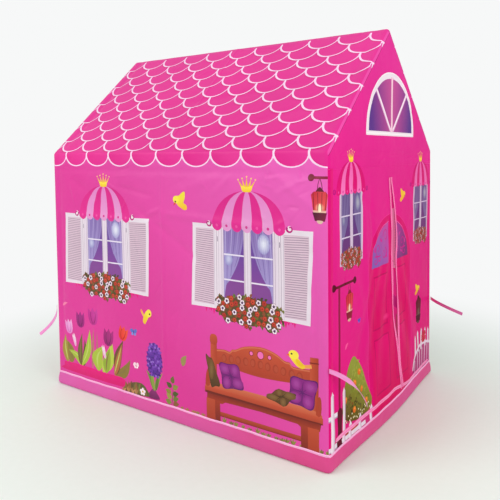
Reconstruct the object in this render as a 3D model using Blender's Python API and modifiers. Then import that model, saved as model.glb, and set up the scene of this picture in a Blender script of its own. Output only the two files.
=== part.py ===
# Kids' play tent shaped as a small house. Plastic rods, pushed into corner joints, make a frame that
# stands inside a sewn cover, and the door is a slit between two flaps that hang in the front wall.
# Metres, +Z up. The door faces +X, and left (-Y) and right are as seen by someone facing the door.
# The origin is on the floor, under the middle of the tent.

import math

import bmesh
import bpy
from mathutils import Matrix, Vector

# Cover, measured over the cloth
TENT_LENGTH = 0.930
TENT_WIDTH = 0.690
EAVE_HEIGHT = 0.703
RIDGE_HEIGHT = 1.020
CLOTH_THICKNESS = 0.0008
FOLD_DEPTH = 0.006

# Sleeve that holds the base rods, all round the foot of the cover
BAND_HEIGHT = 0.038
BAND_BULGE = 0.003
BAND_FLAT_DEPTH = 0.0005

# Door in the front wall: the gable's seam lies below the eave, and the slit's top below that seam
GABLE_SEAM_DROP = 0.041
SLIT_DROP = 0.032
HEM_RISE = 0.020
SLIT_SHIFT = 0.005
SLIT_TOP_WIDTH = 0.003
FLAP_TOP_WIDTH = 0.0095
FLAP_FOOT_INSET = 0.020
BINDING_WIDTH = 0.008
BINDING_THICKNESS = 0.0006
# The two free edges beside the slit: share of the way down, and distance from the slit's top
LEFT_EDGE = ((0.0, 0.0), (0.14, 0.008), (0.32, 0.007), (0.42, 0.003), (0.62, 0.016), (0.70, 0.0275),
             (0.82, 0.039), (0.91, 0.052), (1.0, 0.066))
RIGHT_EDGE = ((0.0, 0.0), (0.07, 0.022), (0.15, 0.034), (0.28, 0.048), (0.43, 0.043), (0.62, 0.057),
              (0.72, 0.062), (0.79, 0.051), (0.88, 0.054), (1.0, 0.066))

# Rods and the joints they push into
ROD_DIAMETER = 0.012
ROD_BORE = 0.009
SPIGOT_LENGTH = 0.025
SPIGOT_WALL = 0.0012
SOCKET_WALL = 0.0016
HUB_SWELL = 0.0006
SOCKET_DEPTH = 0.023
BASE_SOCKET_FLOOR = 0.012
EAVE_SOCKET_FLOOR = 0.021
RIDGE_SOCKET_FLOOR = 0.014

# Tie ribbons sewn into the four corner seams
TIE_HEIGHT = 0.237
TIE_LENGTH = 0.140
TIE_WIDTH = 0.010
TIE_THICKNESS = 0.0010
# Heading from +X and pitch from level, in degrees, at the sewn end and at the free end
FRONT_LEFT_TIE = ((62, -28), (26, -70))
FRONT_RIGHT_TIE = ((-56, 0), (-3, -15))
REAR_LEFT_TIE = ((140, -54), (216, -39))
REAR_RIGHT_TIE = ((236, 0), (183, -15))

# Clearances
FIT_CLEARANCE = 0.0003
CONTACT_GAP = 0.0003
FLAP_GAP = 0.00092
CUT_OVERRUN = 0.002

# Facets of a round piece, and cells of a cloth piece
ROUND_SIDES = 16
HUB_RINGS = 8

# Worked out from the sizes above
rodRadius = ROD_DIAMETER / 2
socketRadius = rodRadius + FIT_CLEARANCE
armRadius = socketRadius + SOCKET_WALL
hubRadius = armRadius + HUB_SWELL
frameInset = CLOTH_THICKNESS + CONTACT_GAP + hubRadius
halfLength = TENT_LENGTH / 2
halfWidth = TENT_WIDTH / 2
roofAngle = math.atan2(RIDGE_HEIGHT - EAVE_HEIGHT, halfWidth)
roofDrop = (CLOTH_THICKNESS + CONTACT_GAP) / math.cos(roofAngle)
postX = halfLength - frameInset
postY = halfWidth - frameInset
baseZ = frameInset
eaveZ = EAVE_HEIGHT + frameInset * math.tan(roofAngle) - frameInset / math.cos(roofAngle)
ridgeZ = RIDGE_HEIGHT - frameInset / math.cos(roofAngle)
innerHalfWidth = halfWidth - CLOTH_THICKNESS - CONTACT_GAP
slitTopLeft = SLIT_SHIFT - SLIT_TOP_WIDTH / 2
slitTopRight = SLIT_SHIFT + SLIT_TOP_WIDTH / 2
hingeFoot = innerHalfWidth - FLAP_FOOT_INSET
gableSeamZ = EAVE_HEIGHT - GABLE_SEAM_DROP
slitTopZ = gableSeamZ - SLIT_DROP
hemZ = BAND_HEIGHT + HEM_RISE
flapHeight = slitTopZ - hemZ
tieOffset = (CONTACT_GAP + TIE_THICKNESS / 2) / math.sqrt(2)

for leftover in list(bpy.data.objects):
    bpy.data.objects.remove(leftover)

tentParts = bpy.data.collections.new("kids_play_tent")
cutterParts = bpy.data.collections.new("cutters")
for group in (tentParts, cutterParts):
    bpy.context.scene.collection.children.link(group)


def finish(name, colour, roughness, metallic=0.0):
    material = bpy.data.materials.new(name)
    material.use_nodes = True
    shader = material.node_tree.nodes["Principled BSDF"]
    shader.inputs["Base Color"].default_value = (*colour, 1.0)
    shader.inputs["Roughness"].default_value = roughness
    shader.inputs["Metallic"].default_value = metallic
    return material


rodPlastic = finish("rod_plastic", (0.86, 0.86, 0.84), 0.42)
jointPlastic = finish("joint_plastic", (0.90, 0.90, 0.88), 0.35)
roofCloth = finish("roof_cloth", (0.80, 0.05, 0.28), 0.55)
sideCloth = finish("side_cloth", (0.76, 0.07, 0.32), 0.55)
endCloth = finish("end_cloth", (0.76, 0.03, 0.23), 0.55)
doorCloth = finish("door_cloth", (0.70, 0.01, 0.13), 0.55)
bandCloth = finish("band_cloth", (0.68, 0.12, 0.36), 0.60)
bindingTape = finish("binding_tape", (0.90, 0.42, 0.62), 0.60)
tieRibbon = finish("tie_ribbon", (0.88, 0.33, 0.60), 0.50)


def add_object(name, bm, material, collection=tentParts):
    mesh = bpy.data.meshes.new(name)
    bm.to_mesh(mesh)
    bm.free()
    mesh.materials.append(material)
    piece = bpy.data.objects.new(name, mesh)
    collection.objects.link(piece)
    return piece


def aim(piece, start, direction):
    # The piece's own Z axis turns to the direction, and its origin goes to the start.
    piece.rotation_mode = "QUATERNION"
    piece.rotation_quaternion = Vector((0, 0, 1)).rotation_difference(direction)
    piece.location = start


def round_smooth(piece):
    piece.data.shade_smooth()
    piece.data.set_sharp_from_angle(angle=math.radians(35))


# Rods

def turned(name, profile, material):
    # The profile is a closed loop of (radius, height) points, turned about Z by the Screw modifier.
    bm = bmesh.new()
    corners = [bm.verts.new((radius, 0, height)) for radius, height in profile]
    for first, second in zip(corners, corners[1:] + corners[:1]):
        bm.edges.new((first, second))
    piece = add_object(name, bm, material)
    screw = piece.modifiers.new("turn", "SCREW")
    screw.steps = ROUND_SIDES
    screw.render_steps = ROUND_SIDES
    screw.use_merge_vertices = True
    screw.merge_threshold = 0.00001
    return piece


def rod(name, start, end, spigot=False):
    # A plain rod is a tube. A rod with a spigot is drawn in beyond its end, to fit the next rod's bore.
    run = end - start
    length = run.length
    boreRadius = ROD_BORE / 2
    profile = [(rodRadius, length), (rodRadius, 0), (boreRadius, 0)]
    if spigot:
        spigotRadius = boreRadius - FIT_CLEARANCE
        spigotBore = spigotRadius - SPIGOT_WALL
        profile += [(boreRadius, length - (boreRadius - spigotBore)), (spigotBore, length),
                    (spigotBore, length + SPIGOT_LENGTH), (spigotRadius, length + SPIGOT_LENGTH),
                    (spigotRadius, length)]
    else:
        profile += [(boreRadius, length)]
    piece = turned(name, profile, rodPlastic)
    aim(piece, start, run.normalized())
    return piece


def socket_end(centre, direction, floor):
    return centre + direction * (floor + FIT_CLEARANCE)


def split_rod(names, startCentre, endCentre, startFloor, endFloor):
    # Two half rods between two joints: the second one's spigot sits in the first one's bore.
    direction = (endCentre - startCentre).normalized()
    start = socket_end(startCentre, direction, startFloor)
    end = socket_end(endCentre, -direction, endFloor)
    middle = (start + end) / 2
    halfGap = direction * CONTACT_GAP / 2
    rod(names[0], start, middle - halfGap)
    rod(names[1], end, middle + halfGap, spigot=True)


# Joints

def cylinder(bm, centre, direction, low, high, radius, facetTurn):
    # facetTurn is a share of one facet: two arms' facets never line up, so no edges meet end on.
    spin = Matrix.Rotation(2 * math.pi / ROUND_SIDES * facetTurn, 4, "Z")
    aimed = Vector((0, 0, 1)).rotation_difference(direction).to_matrix().to_4x4()
    place = Matrix.Translation(centre + direction * (low + high) / 2) @ aimed @ spin
    bmesh.ops.create_cone(bm, cap_ends=True, segments=ROUND_SIDES, radius1=radius, radius2=radius,
                          depth=high - low, matrix=place)


def boolean(piece, operand, operation):
    modifier = piece.modifiers.new(operation.lower(), "BOOLEAN")
    modifier.object = operand
    modifier.operation = operation


def hide_cutter(cutter):
    cutter.hide_render = True
    cutter.display_type = "WIRE"


def joint(name, centre, arms, floor):
    # A ball at the centre with a round arm towards each rod, and a blind socket in each arm.
    reach = floor + SOCKET_DEPTH
    hub = bmesh.new()
    bmesh.ops.create_uvsphere(hub, u_segments=ROUND_SIDES, v_segments=HUB_RINGS, radius=hubRadius)
    bmesh.ops.translate(hub, vec=centre, verts=hub.verts)
    piece = add_object(name, hub, jointPlastic)
    sockets = bmesh.new()
    for number, direction in enumerate(arms):
        facetTurn = (number + 1) / (len(arms) + 2)
        cylinder(sockets, centre, direction, floor, reach + CUT_OVERRUN, socketRadius, facetTurn)
        arm = bmesh.new()
        cylinder(arm, centre, direction, 0.0, reach, armRadius, facetTurn)
        armPiece = add_object(f"{name}_arm_{number}", arm, jointPlastic, cutterParts)
        hide_cutter(armPiece)
        boolean(piece, armPiece, "UNION")
    socketPiece = add_object(f"{name}_sockets", sockets, jointPlastic, cutterParts)
    hide_cutter(socketPiece)
    boolean(piece, socketPiece, "DIFFERENCE")


def build_frame():
    along = Vector((1, 0, 0))
    across = Vector((0, 1, 0))
    up = Vector((0, 0, 1))
    baseAt = {}
    eaveAt = {}
    ridgeAt = {}
    for endName, endSign in (("front", 1), ("rear", -1)):
        ridgeAt[endName] = Vector((endSign * postX, 0, ridgeZ))
        rafterDown = {}
        for sideName, sideSign in (("left", -1), ("right", 1)):
            corner = (endName, sideName)
            baseAt[corner] = Vector((endSign * postX, sideSign * postY, baseZ))
            eaveAt[corner] = Vector((endSign * postX, sideSign * postY, eaveZ))
            rafterUp = (ridgeAt[endName] - eaveAt[corner]).normalized()
            rafterDown[sideName] = -rafterUp
            joint(f"base_corner_{endName}_{sideName}", baseAt[corner],
                  (-endSign * along, -sideSign * across, up), BASE_SOCKET_FLOOR)
            joint(f"eave_corner_{endName}_{sideName}", eaveAt[corner],
                  (-endSign * along, -sideSign * across, -up, rafterUp), EAVE_SOCKET_FLOOR)
            split_rod((f"post_{endName}_{sideName}_lower", f"post_{endName}_{sideName}_upper"),
                      baseAt[corner], eaveAt[corner], BASE_SOCKET_FLOOR, EAVE_SOCKET_FLOOR)
            rod(f"rafter_{endName}_{sideName}",
                socket_end(eaveAt[corner], rafterUp, EAVE_SOCKET_FLOOR),
                socket_end(ridgeAt[endName], -rafterUp, RIDGE_SOCKET_FLOOR))
        joint(f"ridge_joint_{endName}", ridgeAt[endName],
              (-endSign * along, rafterDown["left"], rafterDown["right"]), RIDGE_SOCKET_FLOOR)
        split_rod((f"base_rod_{endName}_left", f"base_rod_{endName}_right"),
                  baseAt[endName, "left"], baseAt[endName, "right"],
                  BASE_SOCKET_FLOOR, BASE_SOCKET_FLOOR)
        split_rod((f"tie_rod_{endName}_left", f"tie_rod_{endName}_right"),
                  eaveAt[endName, "left"], eaveAt[endName, "right"],
                  EAVE_SOCKET_FLOOR, EAVE_SOCKET_FLOOR)
    for sideName in ("left", "right"):
        split_rod((f"base_rod_{sideName}_rear", f"base_rod_{sideName}_front"),
                  baseAt["rear", sideName], baseAt["front", sideName],
                  BASE_SOCKET_FLOOR, BASE_SOCKET_FLOOR)
        split_rod((f"eave_rod_{sideName}_rear", f"eave_rod_{sideName}_front"),
                  eaveAt["rear", sideName], eaveAt["front", sideName],
                  EAVE_SOCKET_FLOOR, EAVE_SOCKET_FLOOR)
    split_rod(("ridge_rod_rear", "ridge_rod_front"), ridgeAt["rear"], ridgeAt["front"],
              RIDGE_SOCKET_FLOOR, RIDGE_SOCKET_FLOOR)


# Cloth

def sheet(name, place, columns, rows, outward, thickness, material, offset=-1):
    # place gives the point of the outer face for two shares, across and along, and the cloth's
    # thickness goes in from there, or to both sides of it where offset is 0.
    bm = bmesh.new()
    bmesh.ops.create_grid(bm, x_segments=columns, y_segments=rows, size=0.5)
    for vert in bm.verts:
        vert.co = place(vert.co.x + 0.5, vert.co.y + 0.5)
    bm.normal_update()
    facing = sum((face.normal * face.calc_area() for face in bm.faces), Vector())
    if facing.dot(outward) < 0:
        bmesh.ops.reverse_faces(bm, faces=bm.faces)
    piece = add_object(name, bm, material)
    solidify = piece.modifiers.new("cloth", "SOLIDIFY")
    solidify.thickness = thickness
    solidify.offset = offset
    solidify.use_even_offset = True
    return piece


def mix(low, high, share):
    return low + (high - low) * share


def hump(share):
    # 0 at both ends and 1 in the middle, level at the ends.
    return math.sin(math.pi * share) ** 2


def roof_under(y):
    # Height of a gable's top edge, just under the roof cloth.
    return EAVE_HEIGHT + (halfWidth - abs(y)) * math.tan(roofAngle) - roofDrop


def build_roof():
    ridgeSetback = CONTACT_GAP / 2 + CLOTH_THICKNESS * math.sin(roofAngle)
    for sideName, sideSign in (("left", -1), ("right", 1)):
        def place(across, along, sideSign=sideSign):
            y = mix(halfWidth, ridgeSetback, across)
            sag = FOLD_DEPTH / 2 * hump(across) * hump(along)
            height = EAVE_HEIGHT + (halfWidth - y) * math.tan(roofAngle)
            return Vector((mix(-halfLength, halfLength, along), sideSign * y, height - sag))
        sheet(f"roof_{sideName}", place, 6, 10, Vector((0, sideSign, 1)), CLOTH_THICKNESS, roofCloth)


def build_side_walls():
    foot = BAND_HEIGHT + CONTACT_GAP
    head = EAVE_HEIGHT - roofDrop
    for sideName, sideSign in (("left", -1), ("right", 1)):
        def place(along, rise, sideSign=sideSign):
            # Two shallow slanting folds, in from the flat, that die out at all four edges.
            fold = 0.5 - 0.5 * math.cos(2 * math.pi * (2 * along + 0.5 * rise))
            depth = FOLD_DEPTH / 2 * fold * hump(along) * hump(rise)
            return Vector((mix(-halfLength, halfLength, along), sideSign * (halfWidth - depth),
                           mix(foot, head, rise)))
        sheet(f"side_wall_{sideName}", place, 16, 10, Vector((0, sideSign, 0)), CLOTH_THICKNESS,
              sideCloth)


def build_rear_wall():
    foot = BAND_HEIGHT + CONTACT_GAP

    def place(across, rise):
        y = mix(-innerHalfWidth, innerHalfWidth, across)
        depth = FOLD_DEPTH / 2 * hump(2 * across % 1) * hump(rise)
        return Vector((-halfLength + depth, y, mix(foot, roof_under(y), rise)))
    sheet("rear_wall", place, 12, 10, Vector((-1, 0, 0)), CLOTH_THICKNESS, endCloth)


def edge_offset(edge, down):
    # Reads a slit edge's distance at a share of the way down, on straight runs between its points.
    for (above, first), (below, second) in zip(edge, edge[1:]):
        if down <= below:
            return mix(first, second, (down - above) / (below - above))
    return edge[-1][1]


def free_edge(sideSign, down):
    if sideSign < 0:
        return slitTopLeft + edge_offset(LEFT_EDGE, down)
    return slitTopRight + edge_offset(RIGHT_EDGE, down)


def fold_line(sideSign, down):
    # The slanting line that a flap turns on: it runs from beside the slit's top to the wall's foot.
    top = free_edge(sideSign, 0) + sideSign * FLAP_TOP_WIDTH
    return mix(top, sideSign * hingeFoot, down)


def half_gap(sideSign):
    # Half the gap at the fold line, measured level along the wall.
    run = Vector((fold_line(sideSign, 1) - fold_line(sideSign, 0), flapHeight))
    return FLAP_GAP / 2 * run.length / flapHeight


def flap_place(sideSign, columns):
    # The last column is as wide as the binding sewn along the free edge.
    lastShare = (columns - 1) / columns

    def place(across, down):
        hingeY = fold_line(sideSign, down) - sideSign * half_gap(sideSign)
        freeY = free_edge(sideSign, down)
        tapeY = freeY + sideSign * BINDING_WIDTH
        if across <= lastShare + 0.0001:
            y = mix(hingeY, tapeY, across / lastShare)
        else:
            y = mix(tapeY, freeY, (across - lastShare) / (1 - lastShare))
        span = abs(y - hingeY)
        wave = 0.5 - 0.5 * math.cos(2 * math.pi * span / (4 * BINDING_WIDTH * (1 + 2 * down)))
        depth = FOLD_DEPTH * wave * down * min(1, span / (6 * BINDING_WIDTH))
        return Vector((halfLength - depth, y, mix(slitTopZ, hemZ, down)))
    return place


def wall_rows(sideSign):
    # Inner edge of the wall beside a flap, as (y, height) from its foot up: along the sill under the
    # flap, up the fold line, and back to the middle above the slit.
    seam = SLIT_SHIFT + sideSign * CONTACT_GAP / 2
    gap = sideSign * half_gap(sideSign)
    sill = hemZ - FLAP_GAP
    head = slitTopZ + FLAP_GAP
    rows = [(seam, BAND_HEIGHT + CONTACT_GAP), (seam, sill - CONTACT_GAP)]
    for step in range(7):
        height = mix(sill, head, step / 6)
        rows.append((fold_line(sideSign, (slitTopZ - height) / flapHeight) + gap, height))
    return rows + [(seam, head + CONTACT_GAP), (seam, gableSeamZ)]


def build_front():
    outward = Vector((1, 0, 0))

    def gable_place(across, rise):
        y = mix(-innerHalfWidth, innerHalfWidth, across)
        return Vector((halfLength, y, mix(gableSeamZ + CONTACT_GAP, roof_under(y), rise)))
    sheet("front_gable", gable_place, 8, 4, outward, CLOTH_THICKNESS, endCloth)

    flapColumns = 9
    flapRows = 14
    for sideName, sideSign in (("left", -1), ("right", 1)):
        edge = wall_rows(sideSign)

        def wall_place(across, rise, sideSign=sideSign, edge=edge):
            inner, height = edge[round(rise * (len(edge) - 1))]
            return Vector((halfLength, mix(sideSign * innerHalfWidth, inner, across), height))
        sheet(f"front_wall_{sideName}", wall_place, 4, len(edge) - 1, outward, CLOTH_THICKNESS,
              endCloth)

        place = flap_place(sideSign, flapColumns)
        sheet(f"door_flap_{sideName}", place, flapColumns, flapRows, outward, CLOTH_THICKNESS,
              doorCloth)

        def binding_place(across, down, place=place):
            lift = Vector((CONTACT_GAP + BINDING_THICKNESS, 0, 0))
            return place(mix((flapColumns - 1) / flapColumns, 1, across), down) + lift
        sheet(f"door_binding_{sideName}", binding_place, 1, flapRows, outward, BINDING_THICKNESS,
              bindingTape)


# Sleeve round the base rods

def sleeve_profile():
    # Outer face of the sleeve, as (out, up) from the point of the floor under the base rods.
    outerMost = frameInset + BAND_BULGE
    corner = baseZ
    seam = (frameInset, BAND_HEIGHT)
    arcSteps = 5
    points = [seam]
    for step in range(1, 4):
        rise = step / 4
        points.append((mix(frameInset, outerMost, math.sin(math.pi / 2 * rise)),
                       mix(BAND_HEIGHT, corner, rise)))
    for step in range(arcSteps + 1):
        angle = math.pi / 2 * step / arcSteps
        points.append((outerMost - corner + corner * math.cos(angle),
                       max(corner - corner * math.sin(angle) - BAND_FLAT_DEPTH, 0)))
    for step in range(arcSteps + 1):
        angle = math.pi / 2 * step / arcSteps
        points.append((-corner * math.sin(angle),
                       max(corner - corner * math.cos(angle) - BAND_FLAT_DEPTH, 0)))
    points.append((-frameInset, 2 * baseZ))
    return [Vector(point) for point in points]


def inner_face(outline, thickness):
    # The closed outline moved in by the cloth's thickness, square to each of its runs.
    moved = []
    for index, here in enumerate(outline):
        before = (here - outline[index - 1]).normalized()
        after = (outline[(index + 1) % len(outline)] - here).normalized()
        firstIn = Vector((-before.y, before.x))
        secondIn = Vector((-after.y, after.x))
        moved.append(here - (firstIn + secondIn) * thickness / (1 + firstIn.dot(secondIn)))
    return moved


def base_band(name, outward, along, centre, halfSpan, notches):
    # A ring of the sleeve's section, drawn out to the other end, with both ends mitred at 45 degrees.
    outer = sleeve_profile()
    inner = inner_face(outer, CLOTH_THICKNESS)
    bm = bmesh.new()
    rings = [[bm.verts.new((point.x, 0, point.y)) for point in outline] for outline in (outer, inner)]
    edges = [bm.edges.new((ring[i - 1], ring[i])) for ring in rings for i in range(len(ring))]
    section = bmesh.ops.bridge_loops(bm, edges=edges)["faces"]
    grown = bmesh.ops.extrude_face_region(bm, geom=section)["geom"]
    farVerts = [item for item in grown if isinstance(item, bmesh.types.BMVert)]
    bmesh.ops.translate(bm, vec=(0, 1, 0), verts=farVerts)
    for vert in bm.verts:
        out, share, rise = vert.co
        reach = (halfSpan + out - CONTACT_GAP / 2) * (2 * share - 1)
        vert.co = centre + outward * out + along * reach + Vector((0, 0, rise))
    bmesh.ops.recalc_face_normals(bm, faces=bm.faces)
    piece = add_object(name, bm, bandCloth)
    for notch in notches:
        boolean(piece, notch, "DIFFERENCE")


def corner_notch(endName, endSign, sideName, sideSign):
    # Clears the inner ply of the sleeve where a corner joint's upright arm comes up through it.
    inner = -(frameInset + CUT_OVERRUN)
    outer = frameInset - CLOTH_THICKNESS - CONTACT_GAP / 6
    low = 2 * baseZ - CUT_OVERRUN
    high = BAND_HEIGHT + CUT_OVERRUN
    size = Vector((outer - inner, outer - inner, high - low))
    middle = (outer + inner) / 2
    bm = bmesh.new()
    bmesh.ops.create_cube(bm, size=1)
    bmesh.ops.scale(bm, vec=size, verts=bm.verts)
    bmesh.ops.translate(bm, verts=bm.verts, vec=(endSign * (postX + middle),
                                                 sideSign * (postY + middle), (low + high) / 2))
    cutter = add_object(f"notch_{endName}_{sideName}", bm, bandCloth, cutterParts)
    hide_cutter(cutter)
    return cutter


def build_bands():
    notches = {(endName, sideName): corner_notch(endName, endSign, sideName, sideSign)
               for endName, endSign in (("front", 1), ("rear", -1))
               for sideName, sideSign in (("left", -1), ("right", 1))}
    for sideName, sideSign in (("left", -1), ("right", 1)):
        base_band(f"base_band_{sideName}", Vector((0, sideSign, 0)), Vector((1, 0, 0)),
                  Vector((0, sideSign * postY, 0)), postX,
                  (notches["front", sideName], notches["rear", sideName]))
    for endName, endSign in (("front", 1), ("rear", -1)):
        base_band(f"base_band_{endName}", Vector((endSign, 0, 0)), Vector((0, 1, 0)),
                  Vector((endSign * postX, 0, 0)), postY,
                  (notches[endName, "left"], notches[endName, "right"]))


# Tie ribbons

def tie_path(root, sewnEnd, freeEnd, steps):
    points = [root]
    for step in range(steps):
        share = (step + 0.5) / steps
        heading = math.radians(mix(sewnEnd[0], freeEnd[0], share))
        pitch = math.radians(mix(sewnEnd[1], freeEnd[1], share))
        run = Vector((math.cos(heading) * math.cos(pitch), math.sin(heading) * math.cos(pitch),
                      math.sin(pitch)))
        points.append(points[-1] + run * TIE_LENGTH / steps)
    return points


def build_ties():
    # A ribbon leaves its corner seam with its width upright, then leans with its own slope.
    steps = 14
    leanSteps = 4
    ties = (("front_left", 1, -1, FRONT_LEFT_TIE), ("front_right", 1, 1, FRONT_RIGHT_TIE),
            ("rear_left", -1, -1, REAR_LEFT_TIE), ("rear_right", -1, 1, REAR_RIGHT_TIE))
    for cornerName, endSign, sideSign, (sewnEnd, freeEnd) in ties:
        root = Vector((endSign * (halfLength + tieOffset), sideSign * (halfWidth + tieOffset),
                       TIE_HEIGHT))
        path = tie_path(root, sewnEnd, freeEnd, steps)

        def place(across, along, path=path):
            step = round(along * steps)
            run = (path[min(step + 1, steps)] - path[max(step - 1, 0)]).normalized()
            level = Vector((run.y, -run.x, 0)).normalized()
            upright = Vector((0, 0, 1)).lerp(level.cross(run), min(1, step / leanSteps))
            return path[step] + upright.normalized() * TIE_WIDTH * (across - 0.5)
        sheet(f"tie_ribbon_{cornerName}", place, 1, steps, Vector((0, 0, 1)), TIE_THICKNESS,
              tieRibbon, offset=0)


build_frame()
build_roof()
build_side_walls()
build_rear_wall()
build_front()
build_bands()
build_ties()
for piece in tentParts.objects:
    if piece.name.startswith(("base_corner", "eave_corner", "ridge_joint")):
        round_smooth(piece)
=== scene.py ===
import math
import random

import bmesh
import bpy
from mathutils import Matrix, Vector, noise
from mathutils.geometry import delaunay_2d_cdt
from mathutils.kdtree import KDTree


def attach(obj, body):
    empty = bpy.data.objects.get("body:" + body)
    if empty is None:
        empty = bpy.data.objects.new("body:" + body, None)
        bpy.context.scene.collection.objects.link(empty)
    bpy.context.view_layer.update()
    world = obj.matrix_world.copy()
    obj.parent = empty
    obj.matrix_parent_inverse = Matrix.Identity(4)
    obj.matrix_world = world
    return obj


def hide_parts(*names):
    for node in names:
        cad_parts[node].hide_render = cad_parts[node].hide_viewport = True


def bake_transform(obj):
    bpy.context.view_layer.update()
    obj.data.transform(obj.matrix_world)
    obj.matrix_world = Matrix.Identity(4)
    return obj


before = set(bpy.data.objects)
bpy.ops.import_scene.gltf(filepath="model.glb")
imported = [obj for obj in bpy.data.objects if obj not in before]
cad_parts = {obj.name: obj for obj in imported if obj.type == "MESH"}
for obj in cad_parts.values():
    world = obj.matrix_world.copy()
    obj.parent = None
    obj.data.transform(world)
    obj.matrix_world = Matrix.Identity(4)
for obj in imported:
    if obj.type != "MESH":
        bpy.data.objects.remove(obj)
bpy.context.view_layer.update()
scene = bpy.context.scene

# The tent's own sizes, as in the frame. Metres here, and millimetres in everything that is printed.
tent = {
    "halfLength": 0.465,
    "halfWidth": 0.345,
    "eave": 0.703,
    "ridge": 1.020,
    "reach": 0.0096,          # rod's centre to the cloth's outer face
    "clothThickness": 0.0006,
    "bandTop": 0.038,
    "gableSeam": 0.662,
    "slitTop": 0.630,
    "hem": 0.058,
    "slitShift": 0.005,
    "leftEdge": ((0, 0), (0.14, 0.013), (0.32, 0.020), (0.50, 0.023), (0.61, 0.026), (0.69, 0.038),
                 (0.76, 0.046), (0.82, 0.050), (0.91, 0.053), (1, 0.064)),
    "rightEdge": ((0, 0), (0.07, 0.014), (0.15, 0.028), (0.28, 0.040), (0.40, 0.041), (0.50, 0.046),
                  (0.61, 0.049), (0.69, 0.050), (0.76, 0.0505), (0.84, 0.0515), (0.91, 0.0535), (1, 0.066)),
}
halfLength, halfWidth, reach = tent["halfLength"], tent["halfWidth"], tent["reach"]
endLine, sideLine, eaveLine, ridgeLine, bandLine = (round(tent[name] * 1000) for name in
                                                    ("halfLength", "halfWidth", "eave", "ridge", "bandTop"))
roofAngle = math.atan2(tent["ridge"] - tent["eave"], halfWidth)
slope = math.hypot(tent["ridge"] - tent["eave"], halfWidth)
postX, postY = halfLength - reach, halfWidth - reach
eaveZ = tent["eave"] + reach * math.tan(roofAngle) - reach / math.cos(roofAngle)
ridgeZ = tent["ridge"] - reach / math.cos(roofAngle)
footLine = bandLine + 0.3  # the walls end just above the sleeve's edge
frameCorners = ((-postY, reach), (postY, reach), (postY, eaveZ), (0, ridgeZ), (-postY, eaveZ))
frameOutline = [Vector(corner) for corner in frameCorners]


def mix(low, high, share):
    return low + (high - low) * share


def ease(share):
    share = min(1.0, max(0.0, share))
    return share * share * (3 - 2 * share)


def hump(share):
    return math.sin(math.pi * min(1.0, max(0.0, share))) ** 2


def ink(code):
    # A colour as it is written on a swatch, turned to the linear values that a shader takes.
    channels = [int(code[i:i + 2], 16) / 255 for i in (0, 2, 4)]
    return [c / 12.92 if c <= 0.04045 else ((c + 0.055) / 1.055) ** 2.4 for c in channels]


def nearestOnFrame(point):
    # The nearest point, in the tent's cross section, of the area inside the rods' centre lines.
    best, outside = None, False
    for start, end in zip(frameOutline, frameOutline[1:] + frameOutline[:1]):
        run = end - start
        if run.cross(point - start) < 0:
            outside = True
        share = min(1.0, max(0.0, (point - start).dot(run) / run.length_squared))
        spot = start + run * share
        if best is None or (spot - point).length < (best - point).length:
            best = spot
    return best if outside else point


def settle(point, lift=0.0):
    # Where a point of the sharp-edged house lies once the cloth is wrapped round the rods.
    spot = nearestOnFrame(Vector((point.y, point.z)))
    core = Vector((min(postX, max(-postX, point.x)), spot.x, spot.y))
    return core + (point - core).normalized() * (reach + lift)


def creases(u, v, folds):
    # Each fold is (u0, v0, u1, v1, width, depth): a soft ridge or dent along a line, dying out at its ends.
    total = 0.0
    for u0, v0, u1, v1, width, depth in folds:
        du, dv = u1 - u0, v1 - v0
        length = math.hypot(du, dv)
        share = ((u - u0) * du + (v - v0) * dv) / length ** 2
        if -0.2 < share < 1.2:
            aside = ((u - u0) * dv - (v - v0) * du) / length / width
            if abs(aside) < 3:
                total += (1.5 * depth * math.exp(-aside * aside) * ease((share + 0.2) / 0.4)
                          * ease((1.2 - share) / 0.4))
    return total


def ripple(u, v, size, depth, seed):
    return depth * noise.noise(Vector((u / size, v / size, seed)))


def relief(u, v, folds, *ripples):
    # The cloth's folds, and its random ripples as (size, depth, seed).
    return sum((ripple(u, v, *one) for one in ripples), creases(u, v, folds))


# What the print is drawn with: closed outlines, in millimetres on the flat cloth

def block(x0, y0, x1, y1):
    x0, x1 = sorted((x0, x1))
    return [(x0, y0), (x1, y0), (x1, y1), (x0, y1)]


def arc(cx, cy, rx, ry, last, steps):
    # Part of an oval, from its right end up to the last angle.
    turns = [last * k / steps for k in range(steps + 1)]
    return [(cx + rx * math.cos(a), cy + ry * math.sin(a)) for a in turns]


def oval(cx, cy, rx, ry=None, turn=0.0, steps=14):
    ry = rx if ry is None else ry
    c, s = math.cos(math.radians(turn)), math.sin(math.radians(turn))
    loop = []
    for step in range(steps):
        a = 2 * math.pi * step / steps
        x, y = rx * math.cos(a), ry * math.sin(a)
        loop.append((cx + c * x - s * y, cy + s * x + c * y))
    return loop


def curveSpot(a, b, c, d, t):
    # A place on the smooth line from b to c, with a before it and d after it.
    return (b + (c - a) * (t / 2) + (a - b * 2.5 + c * 2 - d * 0.5) * t * t
            + (b * 1.5 - a * 0.5 - c * 1.5 + d * 0.5) * t ** 3)


def throughPoints(points, steps=3, closed=True):
    # A smooth line through the points.
    count = len(points)
    line = []
    for i in range(count if closed else count - 1):
        near = [(i + k) % count if closed else min(count - 1, max(0, i + k)) for k in (-1, 0, 1, 2)]
        a, b, c, d = (Vector(points[k]) for k in near)
        for step in range(steps):
            line.append(tuple(curveSpot(a, b, c, d, step / steps)))
    if not closed:
        line.append(tuple(points[-1]))
    return line


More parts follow.
